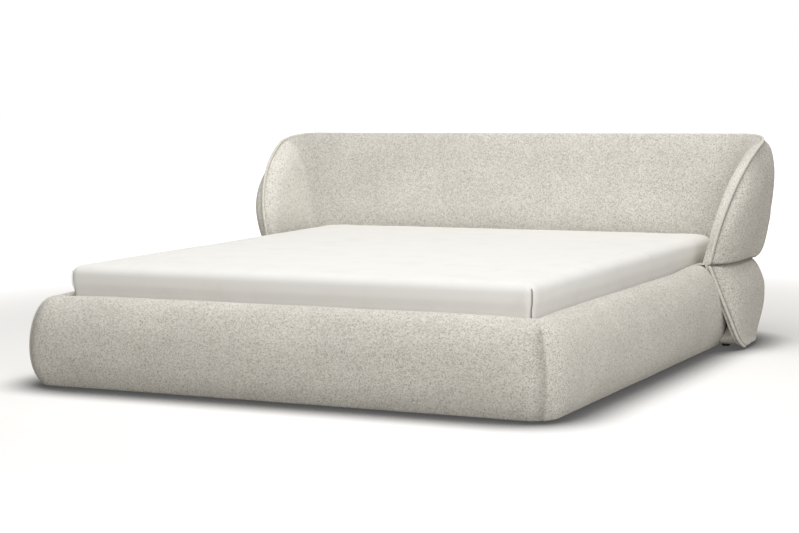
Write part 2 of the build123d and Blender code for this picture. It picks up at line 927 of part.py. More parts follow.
ring_rear_y = foot_centre(0, foot_round_radius)[0]
side_run = ring_rear_y - foot_crown_y
left_crown = (-side_crown_x, foot_crown_y, 0)
right_crown = (side_crown_x, foot_crown_y, 0)
right_end = (side_crown_x, ring_rear_y, 0)
left_section = half_ellipse(Plane(left_crown, x_dir=(-1, 0, 0), z_dir=(0, 1, 0)))
right_section = half_ellipse(Plane(right_end, x_dir=(1, 0, 0), z_dir=(0, -1, 0)))
foot_section = half_ellipse(Plane(right_crown, x_dir=(0, -1, 0), z_dir=(-1, 0, 0)))

# The three rails as one ring open at the head, with round outer corners
with BuildPart() as pad_ring:
    add_box(
        (-side_crown_x, foot_crown_y, glide_height), (side_crown_x, ring_rear_y, rail_top)
    )
    extrude(left_section, amount=side_run)
    extrude(right_section, amount=side_run)
    extrude(foot_section, amount=2 * side_crown_x)
    revolve(left_section, axis=Axis(left_crown, (0, 0, 1)), revolution_arc=90)
    revolve(foot_section, axis=Axis(right_crown, (0, 0, 1)), revolution_arc=90)
    add_box(
        (-well_half_width, well_front_y, 0),
        (well_half_width, ring_rear_y + overrun, rail_top + overrun),
        mode=Mode.SUBTRACT,
    )
    inner_edges = (
        edges()
        .filter_by(lambda edge: abs(edge.center().Z - rail_top) < piping_seat)
        .filter_by_position(Axis.X, -well_half_width, well_half_width)
        .filter_by_position(Axis.Y, well_front_y, ring_rear_y, inclusive=(True, False))
    )
    fillet(inner_edges, rail_inner_edge_radius)
    add(profile_solid(-rail_end_gap), mode=Mode.SUBTRACT)
    for run in (lower_left_run, lower_right_run):
        add(piping_tube(run, piping_radius + rail_piping_gap), mode=Mode.SUBTRACT)
    for low, high in boards.values():
        add_box(low, high, mode=Mode.SUBTRACT)

left_mitre = Plane(left_crown, z_dir=(-1, 1, 0))
right_mitre = Plane(right_crown, z_dir=(1, 1, 0))

with BuildPart() as left_rail_pad:
    add(pad_ring.part)
    split(bisect_by=left_mitre, keep=Keep.TOP)
save(left_rail_pad, "left_rail_pad")

with BuildPart() as right_rail_pad:
    add(pad_ring.part)
    split(bisect_by=right_mitre, keep=Keep.TOP)
save(right_rail_pad, "right_rail_pad")

with BuildPart() as foot_rail_pad:
    add(pad_ring.part)
    split(bisect_by=left_mitre, keep=Keep.BOTTOM)
    split(bisect_by=right_mitre, keep=Keep.BOTTOM)
save(foot_rail_pad, "foot_rail_pad")
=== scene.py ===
import bpy
import json
import math
from mathutils import Matrix, Vector, kdtree, noise


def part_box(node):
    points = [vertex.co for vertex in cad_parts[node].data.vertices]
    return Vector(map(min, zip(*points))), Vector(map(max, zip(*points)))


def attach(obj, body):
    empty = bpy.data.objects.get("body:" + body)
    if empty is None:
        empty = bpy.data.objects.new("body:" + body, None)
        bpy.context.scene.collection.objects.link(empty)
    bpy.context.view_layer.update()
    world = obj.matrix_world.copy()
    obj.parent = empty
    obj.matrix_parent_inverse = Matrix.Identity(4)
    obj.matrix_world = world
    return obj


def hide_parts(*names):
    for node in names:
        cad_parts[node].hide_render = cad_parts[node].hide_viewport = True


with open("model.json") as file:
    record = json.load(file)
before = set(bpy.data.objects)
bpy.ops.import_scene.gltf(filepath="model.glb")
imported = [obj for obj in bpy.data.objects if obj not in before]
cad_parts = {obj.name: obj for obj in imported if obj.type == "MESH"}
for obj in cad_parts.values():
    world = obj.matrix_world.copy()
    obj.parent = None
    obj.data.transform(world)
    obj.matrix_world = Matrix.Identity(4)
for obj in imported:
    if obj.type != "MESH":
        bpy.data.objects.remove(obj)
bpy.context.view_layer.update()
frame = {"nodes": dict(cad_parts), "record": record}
print("frame loaded")


# Small helpers

def hexColour(text):  # sRGB hex, as picked on screen, to the linear values that Blender mixes
    values = []
    for i in (0, 2, 4):
        c = int(text[i:i + 2], 16) / 255
        values.append(c / 12.92 if c <= 0.04045 else ((c + 0.055) / 1.055) ** 2.4)
    return (*values, 1.0)


def addObject(name, data):
    thing = bpy.data.objects.new(name, data)
    bpy.context.collection.objects.link(thing)
    return thing


def addNode(tree, kind, settings=None, links=None):
    # a node, its values, and what feeds its inputs: a socket, or a node for the first one it gives out
    node = tree.nodes.new("ShaderNode" + kind)
    for key, value in (settings or {}).items():
        if isinstance(key, str) and hasattr(node, key):
            setattr(node, key, value)
        else:
            node.inputs[key].default_value = value
    for key, source in (links or {}).items():
        socket = source.outputs[0] if isinstance(source, bpy.types.Node) else source
        tree.links.new(socket, node.inputs[key])
    return node


def newMaterial(name):
    material = bpy.data.materials.new(name)
    material.use_nodes = True
    material.node_tree.nodes.clear()
    return material, material.node_tree, addNode(material.node_tree, "TexCoord").outputs["Object"]


def setRamp(node, stops):
    ramp = node.color_ramp
    while len(ramp.elements) < len(stops):
        ramp.elements.new(0.5)
    for element, (place, colour) in zip(ramp.elements, stops):
        element.position = place
        element.color = hexColour(colour)
    return node


def finishMaterial(material, level, stops, relief, height, settings, links=None):
    # a pattern's level picks the colour, another height makes the relief, and both go to the shader
    tree = material.node_tree
    links = {"Base Color": setRamp(addNode(tree, "ValToRGB", {}, {0: level}), stops), **(links or {})}
    if relief:
        links["Normal"] = addNode(tree, "Bump", relief, {"Height": height})
    shader = addNode(tree, "BsdfPrincipled", settings, links)
    addNode(tree, "OutputMaterial", {}, {"Surface": shader})
    return material


# Camera, set where the photograph was taken from

photoCamera = {
    "place": (3.114, -6.505, 1.082),  # m
    "yaw": -0.456, "pitch": -0.100, "roll": -0.012,  # radians
    "lens": 84.13, "sensor": 36,  # mm
}


def setCamera(c):
    yaw, pitch, roll = c["yaw"], c["pitch"], c["roll"]
    forward = Vector((math.sin(yaw) * math.cos(pitch), math.cos(yaw) * math.cos(pitch), math.sin(pitch)))
    right = Vector((math.cos(yaw), -math.sin(yaw), 0))
    up = right.cross(forward)
    r = right * math.cos(roll) + up * math.sin(roll)
    u = up * math.cos(roll) - right * math.sin(roll)
    data = bpy.data.cameras.new("photoCamera")
    data.lens = c["lens"]
    data.sensor_width = c["sensor"]
    data.sensor_fit = "HORIZONTAL"
    data.clip_end = 100
    camera = addObject("photoCamera", data)
    camera.matrix_world = Matrix((
        (r.x, u.x, -forward.x, c["place"][0]),
        (r.y, u.y, -forward.y, c["place"][1]),
        (r.z, u.z, -forward.z, c["place"][2]),
        (0, 0, 0, 1),
    ))
    bpy.context.scene.camera = camera


setCamera(photoCamera)
print("camera set")


# Materials

# Boucle, woven with looped wool yarn: small round nubs, pale tips and dark gaps, no shine
boucle = {
    "tip": "F1EFE9", "loop": "E4E1D9", "shade": "D0CCC2", "gap": "A19C91",
    "loopSize": 0.0030,  # m, a loop of yarn
    "nubSize": 0.0042,  # m, knots of yarn
    "cloudSize": 0.25,  # m, soft changes of tone where the pile lies another way
    "wander": 1.2,  # loops, how far they are shifted about, so that they don't lie in rows
    "crownTone": 0.62, "crownFall": 0.55,  # a loop is pale in its middle and falls to the gap
    "ownTone": 0.62, "nubTone": 0.3, "nubLevel": -0.28,
    # the last number: how much the painted shade in the mesh attribute darkens the colour
    "bump": 0.0018, "paintedShadeStrength": 0.7,
}


def makeBoucle(b, name):
    material, tree, place = newMaterial(name)
    wander = addNode(tree, "TexNoise", {"Scale": 1 / b["nubSize"], "Detail": 1.0}, {"Vector": place})
    shift = addNode(tree, "VectorMath", {"operation": "SCALE", "Scale": b["loopSize"] * b["wander"]},
                    {0: wander.outputs["Color"]})
    moved = addNode(tree, "VectorMath", {"operation": "ADD"}, {0: place, 1: shift})
    loops = addNode(tree, "TexVoronoi", {"Scale": 1 / b["loopSize"], "Randomness": 1.0}, {"Vector": moved})
    nubs = addNode(tree, "TexNoise", {"Scale": 1 / b["nubSize"], "Detail": 3.0, "Roughness": 0.7},
                   {"Vector": place})
    clouds = addNode(tree, "TexNoise", {"Scale": 1 / b["cloudSize"], "Detail": 2.0}, {"Vector": place})
    # each loop has a tone of its own, and the gap round it is dark
    tone = addNode(tree, "SeparateColor", {}, {0: loops.outputs["Color"]})
    loopCrown = addNode(tree, "Math", {"operation": "MULTIPLY_ADD", 1: -b["crownFall"], 2: b["crownTone"]},
                        {0: loops.outputs["Distance"]})
    ownTone = addNode(tree, "Math", {"operation": "MULTIPLY_ADD", 1: b["ownTone"]}, {0: tone, 2: loopCrown})
    nubRise = addNode(tree, "Math", {"operation": "MULTIPLY_ADD", 1: b["nubTone"], 2: b["nubLevel"]},
                      {0: nubs})
    level = addNode(tree, "Math", {"operation": "ADD"}, {0: ownTone, 1: nubRise})
    colour = setRamp(addNode(tree, "ValToRGB", {}, {0: level}), [
        (0.10, b["gap"]), (0.34, b["shade"]), (0.56, b["loop"]), (0.80, b["tip"])])
    drift = addNode(tree, "MapRange", {"From Min": 0.3, "From Max": 0.7, "To Min": 0.95, "To Max": 1.04},
                    {0: clouds})
    # painted shade from a mesh attribute: above 0 it darkens the colour, below 0 it pales it as a painted
    # highlight
    paintedShadeNode = addNode(tree, "Attribute", {"attribute_name": "paintedShade"})
    dimmed = addNode(tree, "Math", {"operation": "MULTIPLY_ADD", 1: -b["paintedShadeStrength"], 2: 1.0},
                     {0: paintedShadeNode.outputs["Fac"]})
    shading = addNode(tree, "Math", {"operation": "MULTIPLY"}, {0: drift, 1: dimmed})
    tinted = addNode(tree, "VectorMath", {"operation": "SCALE"}, {0: colour, "Scale": shading})
    raised = addNode(tree, "Bump", {"Strength": 0.8, "Distance": b["bump"]}, {"Height": level})
    cloth = addNode(tree, "BsdfPrincipled", {
        "Roughness": 0.95, "Specular IOR Level": 0.15, "Sheen Weight": 0.22, "Sheen Roughness": 0.6,
        "Sheen Tint": hexColour("F4F1EA"),
    }, {"Base Color": tinted, "Normal": raised})
    addNode(tree, "OutputMaterial", {}, {"Surface": cloth})
    return material


# Knitted polyester ticking, stretched smooth: a fine even grain that only just shows
ticking = {
    "yarn": "F5F4F1", "valley": "EEECE8", "bump": 0.0004,
    "stitch": 0.0035,  # m, drawn coarser than a real stitch of about 1.5 mm, so that it shows
}


def makeTicking(t, name):
    material, tree, place = newMaterial(name)
    knit = addNode(tree, "TexVoronoi", {"Scale": 1 / t["stitch"], "Randomness": 0.6}, {"Vector": place})
    soft = addNode(tree, "TexNoise", {"Scale": 9.0, "Detail": 3.0}, {"Vector": place})
    mixed = addNode(tree, "Math", {"operation": "MULTIPLY_ADD", 1: 0.5},
                    {0: knit.outputs["Distance"], 2: soft})
    return finishMaterial(
        material, mixed, [(0.35, t["valley"]), (0.75, t["yarn"])],
        {"Strength": 0.5, "Distance": t["bump"]}, knit.outputs["Distance"],
        {"Roughness": 0.85, "Specular IOR Level": 0.25, "Sheen Weight": 0.15, "Sheen Roughness": 0.5})


# Sewing thread and the shade in a stitched seam: a thin line darker than the cloth
thread = {"ply": "A9A499", "gap": "6F6A60", "twist": 0.003}  # the twist is drawn coarser than the real 1 mm


def makeThread(t, name):
    material, tree, place = newMaterial(name)
    twist = addNode(tree, "TexNoise", {"Scale": 1 / t["twist"], "Detail": 1.0}, {"Vector": place})
    return finishMaterial(material, twist, [(0.35, t["gap"]), (0.7, t["ply"])], None, None,
                          {"Roughness": 0.9, "Specular IOR Level": 0.2})


# Planed or sanded timber: soft bands of grain with fine dark pores
# ring and pore are in m; along is how close the grain lies on each axis, so a small value runs it that way
pine = {"light": "E2C79A", "dark": "BF9560", "ring": 0.022, "pore": 0.0016, "along": (1, 1, 1),
        "roughness": 0.62}
beech = {"light": "D9B98E", "dark": "C29A6C", "ring": 0.012, "pore": 0.0011, "along": (0.06, 1, 1),
         "roughness": 0.5}
plywood = {"light": "DDBF93", "dark": "C09C6C", "ring": 0.03, "pore": 0.0013, "along": (1, 1, 2.2),
           "roughness": 0.66}
poresDrawn = 8  # times coarser than they are, so that they show


def makeTimber(t, name):
    material, tree, place = newMaterial(name)
    run = addNode(tree, "Mapping", {"Scale": t["along"]}, {"Vector": place})
    rings = addNode(tree, "TexNoise", {"Scale": 1 / t["ring"], "Detail": 4.0, "Distortion": 0.6},
                    {"Vector": run})
    pores = addNode(tree, "TexNoise", {"Scale": 1 / t["pore"] / poresDrawn, "Detail": 2.0}, {"Vector": run})
    grain = addNode(tree, "Math", {"operation": "MULTIPLY_ADD", 1: 0.35}, {0: pores, 2: rings})
    return finishMaterial(
        material, grain, [(0.5, t["dark"]), (0.8, t["light"])], {"Strength": 0.25, "Distance": 0.0006}, grain,
        {"Roughness": t["roughness"], "Specular IOR Level": 0.4})


# Mild steel, powder coated: dark grey with a fine orange peel and soft highlights
coated = {"body": "4A4B4D", "speck": "5A5B5D", "peel": 0.0012, "roughness": 0.5, "metallic": 0.0}
# Zinc plated steel bolts: pale blue-grey metal with cloudy roughness
zinc = {"body": "B9BEC2", "speck": "9DA2A6", "peel": 0.0025, "roughness": 0.34, "metallic": 1.0}
# Moulded black polypropylene: even fine spark grain, dull
moulded = {"body": "1C1C1D", "speck": "29292A", "peel": 0.0008, "roughness": 0.55, "metallic": 0.0}


def makeGrained(g, name):
    material, tree, place = newMaterial(name)
    peel = addNode(tree, "TexNoise", {"Scale": 1 / g["peel"], "Detail": 2.0}, {"Vector": place})
    cloudy = addNode(tree, "TexNoise", {"Scale": 60.0, "Detail": 3.0}, {"Vector": place})
    gloss = addNode(tree, "MapRange", {"To Min": g["roughness"] - 0.06, "To Max": g["roughness"] + 0.08},
                    {0: cloudy})
    return finishMaterial(
        material, cloudy, [(0.4, g["body"]), (0.65, g["speck"])], {"Strength": 0.3, "Distance": 0.0002}, peel,
        {"Metallic": g["metallic"]}, {"Roughness": gloss})


# Woven polypropylene webbing: flat dark ribs across the tape
webbing = {
    "rib": "4B4A48", "valley": "262625",
    "pitch": 0.003,  # m from rib to rib
    "waves": 3.2,  # how many Blender's wave texture draws in 1 m at a scale of 1
}


def makeWebbing(w, name):
    material, tree, place = newMaterial(name)
    ribs = addNode(tree, "TexWave", {
        "bands_direction": "Y", "Scale": 1 / w["pitch"] / w["waves"], "Distortion": 0.3,
    }, {"Vector": place}).outputs["Fac"]
    return finishMaterial(
        material, ribs, [(0.2, w["valley"]), (0.8, w["rib"])], {"Strength": 0.6, "Distance": 0.0006}, ribs,
        {"Roughness": 0.75, "Specular IOR Level": 0.3})


boucleCloth = makeBoucle(boucle, "boucle")
# cut on the bias for the piping: stretched round the cord, so its gaps are pale
pipingTones = {"tip": "F4F2EB", "loop": "ECE9E1", "shade": "E1DED5", "gap": "CCC8BD", "paintedShadeStrength": 0.0}
pipingCloth = makeBoucle({**boucle, **pipingTones}, "boucleCutOnTheBias")
tickingCloth = makeTicking(ticking, "knittedTicking")
seamThread = makeThread(thread, "sewingThread")
webbingTape = makeWebbing(webbing, "wovenWebbing")
frameMaterials = {
    "pine": makeTimber(pine, "planedPine"),
    "beech": makeTimber(beech, "planedBeech"),
    "plywood": makeTimber(plywood, "sandedPlywood"),
    "grey_steel": makeGrained(coated, "powderCoatedSteel"),
    "zinc_steel": makeGrained(zinc, "zincPlatedSteel"),
    "black_plastic": makeGrained(moulded, "mouldedPolypropylene"),
    "webbing": webbingTape,
    "foam": tickingCloth,
    "boucle": boucleCloth,
    "mattress_knit": tickingCloth,
}
for subpart in frame["record"]["subparts"]:
    node = frame["nodes"][subpart["node"]]
    node.data.materials.clear()
    node.data.materials.append(frameMaterials[subpart["material_slot"]])
print("materials made")


# Mesh helpers for the upholstery

def gridPiece(name, grids, material, heart, weld=0.00005):
    # each grid is a list of columns of points; quads join neighbouring columns
    # heart gives a point behind the surface, so that every face looks away from it
    points, faces = [], []
    for columns in grids:
        start, rows = len(points), len(columns[0])
        for column in columns:
            points.extend(column)
        for i in range(len(columns) - 1):
            for k in range(rows - 1):
                a = start + i * rows + k
                faces.append((a, a + rows, a + rows + 1, a + 1))
    mesh = bpy.data.meshes.new(name)
    mesh.from_pydata([tuple(p) for p in points], [], faces)
    piece = addObject(name, mesh)
    welded = piece.modifiers.new("weld", "WELD")
    welded.merge_threshold = weld
    applyModifiers(piece)
    facing = sum((f.center - heart(f.center)).normalized().dot(f.normal) * f.area
                 for f in piece.data.polygons)
    if facing < 0:
        piece.data.flip_normals()
    piece.data.materials.clear()
    piece.data.materials.append(material)
    piece.data.polygons.foreach_set("use_smooth", [True] * len(piece.data.polygons))
    return piece


def applyModifiers(piece):
    shape = bpy.data.meshes.new_from_object(piece.evaluated_get(bpy.context.evaluated_depsgraph_get()))
    old = piece.data
    piece.modifiers.clear()
    piece.data = shape
    bpy.data.meshes.remove(old)


def through(points, count):  # evenly spaced points on a smooth line through the given ones
    line = []
    for i in range(len(points) - 1):
        before = points[max(i - 1, 0)]
        a, b = points[i], points[i + 1]
        after = points[min(i + 2, len(points) - 1)]
        for j in range(12):
            t = j / 12
            line.append(0.5 * (2 * a + (b - before) * t + (2 * before - 5 * a + 4 * b - after) * t * t
                               + (3 * a - before - 3 * b + after) * t ** 3))
    line.append(points[-1].copy())
    return evenly(line, count)


def runLengths(line):  # how far along the line each of its points lies
    runs = [0]
    for a, b in zip(line, line[1:]):
        runs.append(runs[-1] + (b - a).length)
    return runs


def evenly(line, count):
    runs, spaced, i = runLengths(line), [], 0
    for j in range(count):
        want = runs[-1] * j / (count - 1)
        while i < len(line) - 2 and runs[i + 1] < want:
            i += 1
        span = runs[i + 1] - runs[i]
        t = (want - runs[i]) / span if span > 1e-9 else 0
        spaced.append(line[i].lerp(line[i + 1], min(max(t, 0), 1)))
    return spaced


def heading(line, i):  # from the point before to the point after
    return line[min(i + 1, len(line) - 1)] - line[max(i - 1, 0)]


def quarterTurn(steps):  # sine and cosine of each step from 0 to 90 degrees
    turns = [math.pi / 2 * i / steps for i in range(steps + 1)]
    return [(math.sin(turn), math.cos(turn)) for turn in turns]


def flipped(points):  # the same line on the other side of the bed
    return [Vector((-p.x, p.y, p.z)) for p in points]


def mirrored(columns):  # the other side of the bed, with the faces still outwards
    return [flipped(column) for column in reversed(columns)]


def wholeWidth(half):  # columns that end on the bed's middle line, and their mirror
    return half + mirrored(half)[1:]


def ease(t):  # from 0 to 1, with a soft start and finish
    t = min(max(t, 0), 1)
    return t * t * (3 - 2 * t)


# What the upholstery shares with the frame, in metres
bed = {
    "rear": 1.169, "wingTip": 0.589, "wellRear": 0.979,
    "under": 0.015, "crease": 0.340, "waist": 0.400, "top": 0.840,
    "wingDepth": 0.580, "lobeDepth": 0.119, "footRound": 0.075,
    "footLean": 0.047,  # the wing's front leans back below the crease
}
# the wing's outline is an arc that reaches its top where the lobe at the back begins
bed["wingRise"] = (bed["top"] - bed["waist"]) / math.sqrt(1 - (bed["lobeDepth"] / bed["wingDepth"]) ** 2)


# Rails: one padded section carried round the ring, then parted at the mitres

rails = {
    "crownX": 0.943, "crownY": -1.081, "innerX": 0.9045, "innerY": -1.0295,
    "boardX": 0.9328, "boardY": -1.0578, "boardTop": 0.2365,
    "end": 0.700, "innerRadius": 0.022, "bulge": 0.094,
    "upperHalf": 0.190, "lowerHalf": 0.150, "lowerFullness": 2.1,  # the bulge over and under its widest
    "top": 0.328, "under": 0.006,
    "headRise": 0.010, "riseFrom": 0.30, "riseOver": 0.30,  # the top climbs a little towards the wings
    "cornerDip": 0.005, "dipReach": 0.16,
    "turn": 0.034,  # radius, in plan, of the crown's line at a corner
    "endRadius": 0.016, "endMiddle": (-0.94, 0.28), "bottomRadius": 0.010,
    "spacing": 0.022, "stepRows": (0.09, 0.17), "innerRow": 0.28, "outerRows": 26,
    "mitreAngle": 52, "mitreWidth": 7,  # degrees round the corner from the side rail
    "mitreDepth": 0.0016,  # how far the covers pull in at the sewn mitre
    "heart": (0.95, -1.09, 0.2),
}


def railReach(r, z):  # share of the bulge at a height
    middle = r["top"] - r["upperHalf"]
    half, power = (r["upperHalf"], 2) if z > middle else (r["lowerHalf"], r["lowerFullness"])
    return max(1 - min(abs(z - middle) / half, 1) ** power, 0) ** (1 / power)


def railTop(r, x, y):  # pulled down a little at the mitres, and up where it meets the wings
    near = ((abs(x) - r["crownX"]) ** 2 + (y - r["crownY"]) ** 2) / r["dipReach"] ** 2
    up = ease((y - r["riseFrom"]) / r["riseOver"])
    return r["top"] - r["cornerDip"] * math.exp(-near) + r["headRise"] * up


def railColumn(r, inner, step, crown, outward, inset):
    # up the board and over it, up beside the mattress, over the crown, down the bulge and back under
    top, under = railTop(r, *crown), r["under"]
    column = [Vector((*step, z)) for z in (under + inset, *r["stepRows"], r["boardTop"])]
    column += [Vector((*inner, z)) for z in (r["boardTop"], r["innerRow"])]
    a, c, d = Vector((*inner, 0)), Vector((*crown, 0)), Vector((*outward, 0))
    inward = (c - a).normalized()
    radius = r["innerRadius"]
    for sine, cosine in quarterTurn(5):
        column.append(a + inward * (inset + radius * (1 - cosine))
                      + Vector((0, 0, top - inset - radius * (1 - sine))))
    column.append(column[-1].lerp(c + Vector((0, 0, top - inset)), 0.5))
    low = under + r["bottomRadius"]
    outer = []
    for i in range(60, -1, -1):
        share = math.sin(math.pi / 2 * i / 60)  # closer together at the crown, where the curve is level
        z = low + (r["top"] - low) * share
        outer.append(c + d * ((r["bulge"] - inset) * railReach(r, z))
                     + Vector((0, 0, low + (top - inset - low) * share)))
    column += evenly(outer, r["outerRows"])
    edge = column[-1]
    foot = c + d * ((edge - c).xy.length - r["bottomRadius"]) + Vector((0, 0, under + inset))
    column.append(edge.lerp(foot, 0.35) + d * 0.002)  # two points that round the lower edge
    column.append(edge.lerp(foot, 0.75) + d * 0.0018)
    return column + [foot, foot.lerp(column[0], 0.5), column[0].copy()]


def cornerColumn(r, angle):
    turn = math.radians(angle)
    outward = (-math.cos(turn), -math.sin(turn))
    crown = (r["turn"] * (1 + outward[0]) - r["crownX"], r["crownY"] + r["turn"] * (1 + outward[1]))
    depth = r["mitreDepth"] * max(1 - abs(angle - r["mitreAngle"]) / r["mitreWidth"], 0) ** 1.5
    return railColumn(r, (-r["innerX"], r["innerY"]), (-r["boardX"], r["boardY"]), crown, outward, depth)


def railColumns(r):
    # the left rail from its end at the wing to the mitre, then the left half of the foot
    length = r["end"] - r["crownY"] - r["turn"]
    steps = round(length / r["spacing"])
    places = [0, 0.0015, 0.004, 0.008, 0.013, 0.020]  # closer together on the rounded end
    places += [places[-1] + (length - places[-1]) * i / steps for i in range(1, steps + 1)]
    side = []
    for s in places:
        inset = 0
        if s < r["endRadius"]:
            inset = r["endRadius"] - math.sqrt(r["endRadius"] ** 2 - (r["endRadius"] - s) ** 2)
        yInner, yStep = (r["end"] + (r[key] - r["end"]) * (s / length) for key in ("innerY", "boardY"))
        side.append(railColumn(r, (-r["innerX"], yInner), (-r["boardX"], yStep), (-r["crownX"], r["end"] - s),
                               (-1, 0), inset))
    # degrees each way from the mitre, closer together beside it
    side += [cornerColumn(r, r["mitreAngle"] - back) for back in (46, 39, 32, 25, 18, 12, 7, 3.5, 1.5, 0)]
    foot = [cornerColumn(r, r["mitreAngle"] + on) for on in (0, 1.5, 3.5, 7, 12, 18, 25, 31)]
    straight = r["crownX"] - r["turn"]
    count = round(straight / r["spacing"])
    for i in range(count + 1):
        share = 1 - i / count
        foot.append(railColumn(r, (-r["innerX"] * share, r["innerY"]), (-r["boardX"] * share, r["boardY"]),
                               (-straight * share, r["crownY"]), (0, -1), 0))
    return side, foot


def endCap(column, x, z, loops=4):
    inside = column[6:30]
    middle = Vector((x, sum(p.y for p in inside) / len(inside), z))
    return [[p.lerp(middle, 1 - i / loops) for p in column] for i in range(loops + 1)]


leftSide, leftFoot = railColumns(rails)
leftEnd = endCap(leftSide[0], *rails["endMiddle"])
heartX, heartY, heartZ = rails["heart"]
leftRail = gridPiece("leftRailCover", [leftEnd, leftSide], boucleCloth,
                     lambda p: Vector((-heartX, p.y, heartZ)))
rightRail = gridPiece("rightRailCover", [mirrored(leftEnd), mirrored(leftSide)], boucleCloth,
                      lambda p: Vector((heartX, p.y, heartZ)))
footRail = gridPiece("footRailCover", [wholeWidth(leftFoot)], boucleCloth,
                     lambda p: Vector((p.x, heartY, heartZ)))
print("rails shaped")


# Headboard: the padded face, its rolled edge and the strip out to the seam

face = {
    "halfCrease": 0.962, "leanOut": 0.176, "rearLean": 0.1, "corner": 0.140,
    "roll": 0.10, "rollDown": 0.10,  # how far the rolled edge reaches across the strip and down the face
    "rollWeight": 0.85,  # under 1 the edge is rounder
    "seamSink": 0.003, "rows": 22, "rollRows": 14, "stripRows": 5,
    "middle": (0, 0.2, 0.7),  # the face looks towards this point
}
# the line along which the face is sewn to the lobes; its leans are sideways per metre of height
seam = {"halfCrease": 0.992, "leanUp": 0.258, "leanDown": 0.116 / 0.325, "rear": 1.050, "corner": 0.150,
        "cornerFloor": 0.250}


def wingTop(y):
    drop = 1 - ((bed["rear"] - y) / bed["wingDepth"]) ** 2
    return bed["waist"] + bed["wingRise"] * math.sqrt(max(drop, 0))


def seamHalf(z):
    lean = seam["leanUp"] if z > bed["crease"] else -seam["leanDown"]
    return seam["halfCrease"] + lean * (z - bed["crease"])


def faceHalf(z):
    return face["halfCrease"] + face["leanOut"] * (z - bed["crease"])


def faceRear(z):
    return bed["wellRear"] + face["rearLean"] * (z - bed["crease"])


def headPoint(part, share, z, half, rear, r):  # along the wing, round the corner, or along the back
    if part == "corner":
        turn = math.pi / 2 * share
        return Vector((half - r + r * math.cos(turn), rear - r + r * math.sin(turn), z))
    if part == "back":
        return Vector(((half - r) * (1 - share), rear, z))
    return Vector((half, bed["wingTip"] + (rear - r - bed["wingTip"]) * share, z))


def seamPoint(part, share, z):
    below = max(bed["crease"] - z, 0) / (bed["crease"] - bed["under"])
    r = seam["corner"] + (seam["cornerFloor"] - seam["corner"]) * below
    return headPoint(part, share, z, seamHalf(z), seam["rear"], r)


def facePoint(part, share, z):
    return headPoint(part, share, z, faceHalf(z), faceRear(z), face["corner"])


def onProfile(pointAt, part, share):  # where a surface meets the wing's outline
    z = bed["top"]
    for _ in range(14):  # each round comes closer to the height
        z = wingTop(pointAt(part, share, z).y)
    return pointAt(part, share, z)


def stations(front, wing, power, corner, back):
    # what each column follows: the upright front of the wing, its arc, the corner and half the back
    line = [("front", i / front) for i in range(front)]
    line += [("wing", (i / wing) ** power) for i in range(wing)]
    line += [("corner", i / corner) for i in range(corner)]
    return line + [("back", i / back) for i in range(back + 1)]


edgeStations = stations(4, 34, 1.7, 16, 40)


def edgeAt(pointAt, part, share):
    if part == "front":
        return pointAt("wing", 0, bed["crease"] + (bed["waist"] - bed["crease"]) * share)
    return onProfile(pointAt, part, share)


def faceRise(part, share, corner, along):  # up the face, from the crease to where strip and face would meet
    low, rise = bed["crease"] + 0.0005, []
    yLow = bed["wingTip"] + (facePoint("wing", 1, low).y - bed["wingTip"]) * along
    for k in range(25):
        z = low + (corner.z - low) * (k / 24)
        if part in ("front", "wing"):
            rise.append(Vector((faceHalf(z), yLow + (corner.y - yLow) * (k / 24), z)))
        else:
            rise.append(facePoint(part, share, z))
    return rise


def stripNormal(strip, edge):  # forwards and up
    out = strip.cross(edge)
    out = out.normalized() if out.length > 1e-9 else Vector((0, -1, 0))
    return -out if out.y > 0.2 or out.z < -0.2 else out


def faceColumns():
    edges = [edgeAt(facePoint, *s) for s in edgeStations]
    wingEnd = max(i for i, s in enumerate(edgeStations) if s[0] == "wing") + 1
    runs = runLengths(edges)
    columns = []
    for i, (part, share) in enumerate(edgeStations):
        corner, outer = edges[i], edgeAt(seamPoint, part, share)
        rise = faceRise(part, share, corner, min(runs[i] / runs[wingEnd], 1))
        strip, tall = outer - corner, (rise[-1] - rise[0]).length
        roll = min(face["roll"], 0.95 * strip.length)
        fall = min(face["rollDown"], 0.8 * tall + 1e-6)
        direction = (rise[-2] - rise[-1]).normalized() if tall > 1e-6 else Vector((0, 0, -1))
        start, finish = corner + direction * fall, corner + strip.normalized() * roll
        flat = [p for p in rise if (p - corner).length > fall * 1.02]
        flat = evenly(flat + [start], face["rows"]) if len(flat) > 1 else [start] * face["rows"]
        rolled = []
        for k in range(1, face["rollRows"] + 1):
            t = k / face["rollRows"]
            a, b, c = (1 - t) ** 2, 2 * face["rollWeight"] * t * (1 - t), t * t
            rolled.append((start * a + corner * b + finish * c) / (a + b + c))
        out = stripNormal(strip, heading(edges, i))
        sunk = []
        for k in range(1, face["stripRows"] + 1):
            t = k / face["stripRows"]
            sunk.append(finish.lerp(outer, t) - out * face["seamSink"] * t ** 3)
        columns.append(flat + rolled + sunk)
    return columns


facePad = gridPiece("headboardFaceCover", [wholeWidth(faceColumns())], boucleCloth,
                    lambda p: p + p - Vector(face["middle"]))
print("headboard face shaped")


# Lobes: the bulge leaves the seam at the wing tip, swells along the wing and runs round the back

